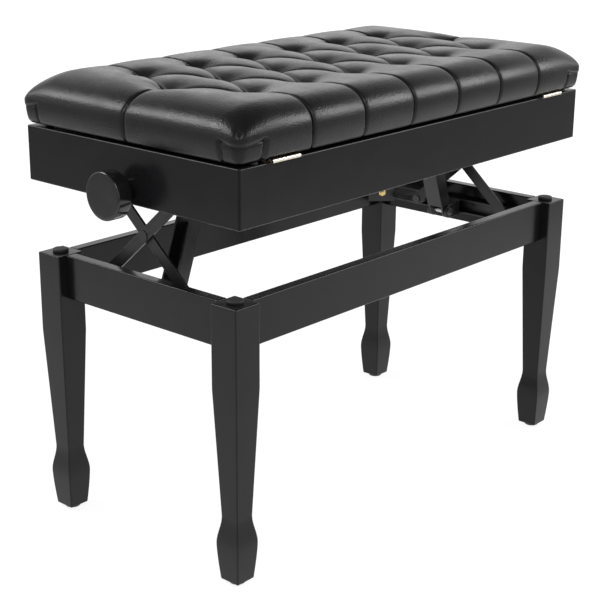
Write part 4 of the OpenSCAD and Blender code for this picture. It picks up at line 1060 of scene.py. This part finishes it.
class BENCH_OT_stage(bpy.types.Operator):
    """Floor, soft lamps, white surroundings and camera"""
    bl_idname = "bench.stage"
    bl_label = "Stage"

    LENS = 85.0
    AZIMUTH, ELEVATION, ROLL = -48.68, 18.3, 0.38
    DISTANCE = 1.8903
    TARGET = (-0.06884, -0.02532, 0.2665)
    FLOOR_REACH = 9.0
    # Glow of the floor near the bench, glow far off, and the distances between which it
    # changes, as it is seen and as it is mirrored. The sky's goes by how far a ray rises.
    FLOOR_SEEN, FLOOR_MIRRORED = (0.88, 1.0, 0.7, 3.0), (1.05, 0.3, 1.3, 2.1)
    SKY_MIRRORED, AMBIENT = (1.0, 0.10, 0.3, 0.8), 0.45
    LAMPS = {               # place in metres, side in metres, power in watts
        "softbox_right": ((2.6, -2.1, 2.0), 1.5, 60),
        "softbox_left": ((-1.6, 2.2, 2.7), 1.5, 70),
        "softbox_front": ((-1.7, -2.0, 2.9), 1.2, 34),
        "softbox_back": ((2.4, 2.1, 1.9), 1.5, 5),
    }

    def execute(self, context):
        self.floor()
        self.surroundings(context.scene)
        for name, (place, size, power) in self.LAMPS.items():
            self.lamp(name, place, size, power)
        self.camera(context.scene)
        context.scene.view_settings.view_transform = "Standard"
        return {"FINISHED"}

    def floor(self):
        """Wide pale floor. It keeps its shadows and glows white to the camera, and in
        reflections it glows near the bench and dims with distance."""
        corners = np.array([(-1, -1, 0), (1, -1, 0), (1, 1, 0), (-1, 1, 0)])
        piece = mesh_piece("floor", corners * self.FLOOR_REACH, [np.array([[0, 1, 2, 3]])])
        material = bpy.data.materials.new("pale_floor")
        material.use_nodes = True
        nodes = Nodes(material.node_tree)
        shader = nodes.tree.nodes["Principled BSDF"]
        nodes.feed(shader.inputs["Base Color"], (0.16, 0.16, 0.16))
        nodes.feed(shader.inputs["Roughness"], 0.9)
        place = nodes.node("ShaderNodeTexCoord").outputs["Object"]
        away = nodes.chain("ShaderNodeVectorMath", place)
        away.operation = "LENGTH"
        away = away.outputs["Value"]
        rays = nodes.node("ShaderNodeLightPath").outputs
        glow_seen = nodes.between(away, *self.FLOOR_SEEN)
        glow_mirrored = nodes.between(away, *self.FLOOR_MIRRORED, "SMOOTHSTEP")
        strength = nodes.blend(rays["Is Camera Ray"], glow_mirrored, glow_seen, "Float")
        glow = nodes.node("ShaderNodeEmission", Strength=strength)
        both = nodes.chain("ShaderNodeAddShader", shader.outputs[0], glow.outputs[0])
        plain = nodes.node("ShaderNodeBsdfDiffuse", Color=(0.6, 0.6, 0.6))
        seen = nodes.largest(rays["Is Camera Ray"], rays["Is Glossy Ray"])
        choose = nodes.chain("ShaderNodeMixShader", seen, plain.outputs[0], both.outputs[0])
        nodes.feed(nodes.tree.nodes["Material Output"].inputs[0], choose.outputs[0])
        piece.data.materials.append(material)

    def surroundings(self, scene):
        """White to the camera. In reflections it is white low down and dims overhead, as
        under the dark ceiling of a studio, and elsewhere it is a plain even light."""
        scene.world = bpy.data.worlds.new("studio")
        scene.world.use_nodes = True
        nodes = Nodes(scene.world.node_tree)
        nodes.tree.nodes.clear()
        rays = nodes.node("ShaderNodeLightPath").outputs
        seen = nodes.largest(nodes.largest(rays["Is Camera Ray"], rays["Is Glossy Ray"]),
                             rays["Is Transmission Ray"])
        direction = nodes.node("ShaderNodeTexCoord").outputs["Generated"]
        upward = nodes.node("ShaderNodeSeparateXYZ", Vector=direction).outputs["Z"]
        fall = nodes.between(upward, *self.SKY_MIRRORED, "SMOOTHSTEP")
        ambient = nodes.node("ShaderNodeBackground", Color=(1, 1, 1), Strength=self.AMBIENT)
        white = nodes.node("ShaderNodeBackground", Color=(1, 1, 1),
                           Strength=nodes.largest(rays["Is Camera Ray"], fall))
        choose = nodes.chain("ShaderNodeMixShader", seen, ambient.outputs[0],
                             white.outputs[0])
        nodes.chain("ShaderNodeOutputWorld", choose.outputs[0])

    @staticmethod
    def lamp(name, place, size, power):
        """A square softbox that faces the seat."""
        data = bpy.data.lights.new(name, "AREA")
        data.shape, data.size, data.energy = "SQUARE", size, power
        lamp = bpy.data.objects.new(name, data)
        bpy.context.scene.collection.objects.link(lamp)
        lamp.location = place
        aim = Vector((0, 0, 0.5)) - lamp.location
        lamp.rotation_euler = aim.to_track_quat("-Z", "Y").to_euler()

    def camera(self, scene):
        """Camera on a sphere round the target, turned slightly about its own axis."""
        azimuth, elevation = math.radians(self.AZIMUTH), math.radians(self.ELEVATION)
        back = Vector((math.sin(azimuth) * math.cos(elevation),
                       -math.cos(azimuth) * math.cos(elevation), math.sin(elevation)))
        data = bpy.data.cameras.new("camera")
        data.lens, data.sensor_width = self.LENS, 36.0
        camera = bpy.data.objects.new("camera", data)
        scene.collection.objects.link(camera)
        camera.location = Vector(self.TARGET) + back * self.DISTANCE
        camera.rotation_mode = "QUATERNION"
        level = (-back).to_track_quat("-Z", "Y")
        camera.rotation_quaternion = level @ Quaternion((0, 0, 1), math.radians(self.ROLL))
        scene.camera = camera


# ---------- panel and registration ----------

OPERATORS = [
    BENCH_OT_cushion, BENCH_OT_legs, BENCH_OT_aprons, BENCH_OT_box, BENCH_OT_knobs,
    BENCH_OT_spindle, BENCH_OT_rubber, BENCH_OT_solids, BENCH_OT_stage,
]


class BENCH_PT_panel(bpy.types.Panel):
    """Sizes, colours and building steps of the bench"""
    bl_idname = "BENCH_PT_panel"
    bl_label = "Piano bench"
    bl_space_type = "VIEW_3D"
    bl_region_type = "UI"
    bl_category = "Bench"

    def draw(self, context):
        layout = self.layout
        for group in (context.scene.bench_seat, context.scene.bench_wood,
                      context.scene.bench_metal):
            column = layout.column(align=True)
            for name in group.__annotations__:
                column.prop(group, name)
        for operator in OPERATORS:
            layout.operator(operator.bl_idname)


CLASSES = [BenchSeatSizes, BenchWoodSizes, BenchMetalSizes, *OPERATORS, BENCH_PT_panel]


def register():
    for made in CLASSES:
        bpy.utils.register_class(made)
    bpy.types.Scene.bench_seat = PointerProperty(type=BenchSeatSizes)
    bpy.types.Scene.bench_wood = PointerProperty(type=BenchWoodSizes)
    bpy.types.Scene.bench_metal = PointerProperty(type=BenchMetalSizes)


def unregister():
    for name in ("bench_seat", "bench_wood", "bench_metal"):
        delattr(bpy.types.Scene, name)
    for made in reversed(CLASSES):
        bpy.utils.unregister_class(made)


def main():
    """Builds everything."""
    register()
    make_finishes(bpy.context.scene)
    for operator in OPERATORS:
        group, name = operator.bl_idname.split(".")
        getattr(getattr(bpy.ops, group), name)()


if __name__ == "__main__":
    main()
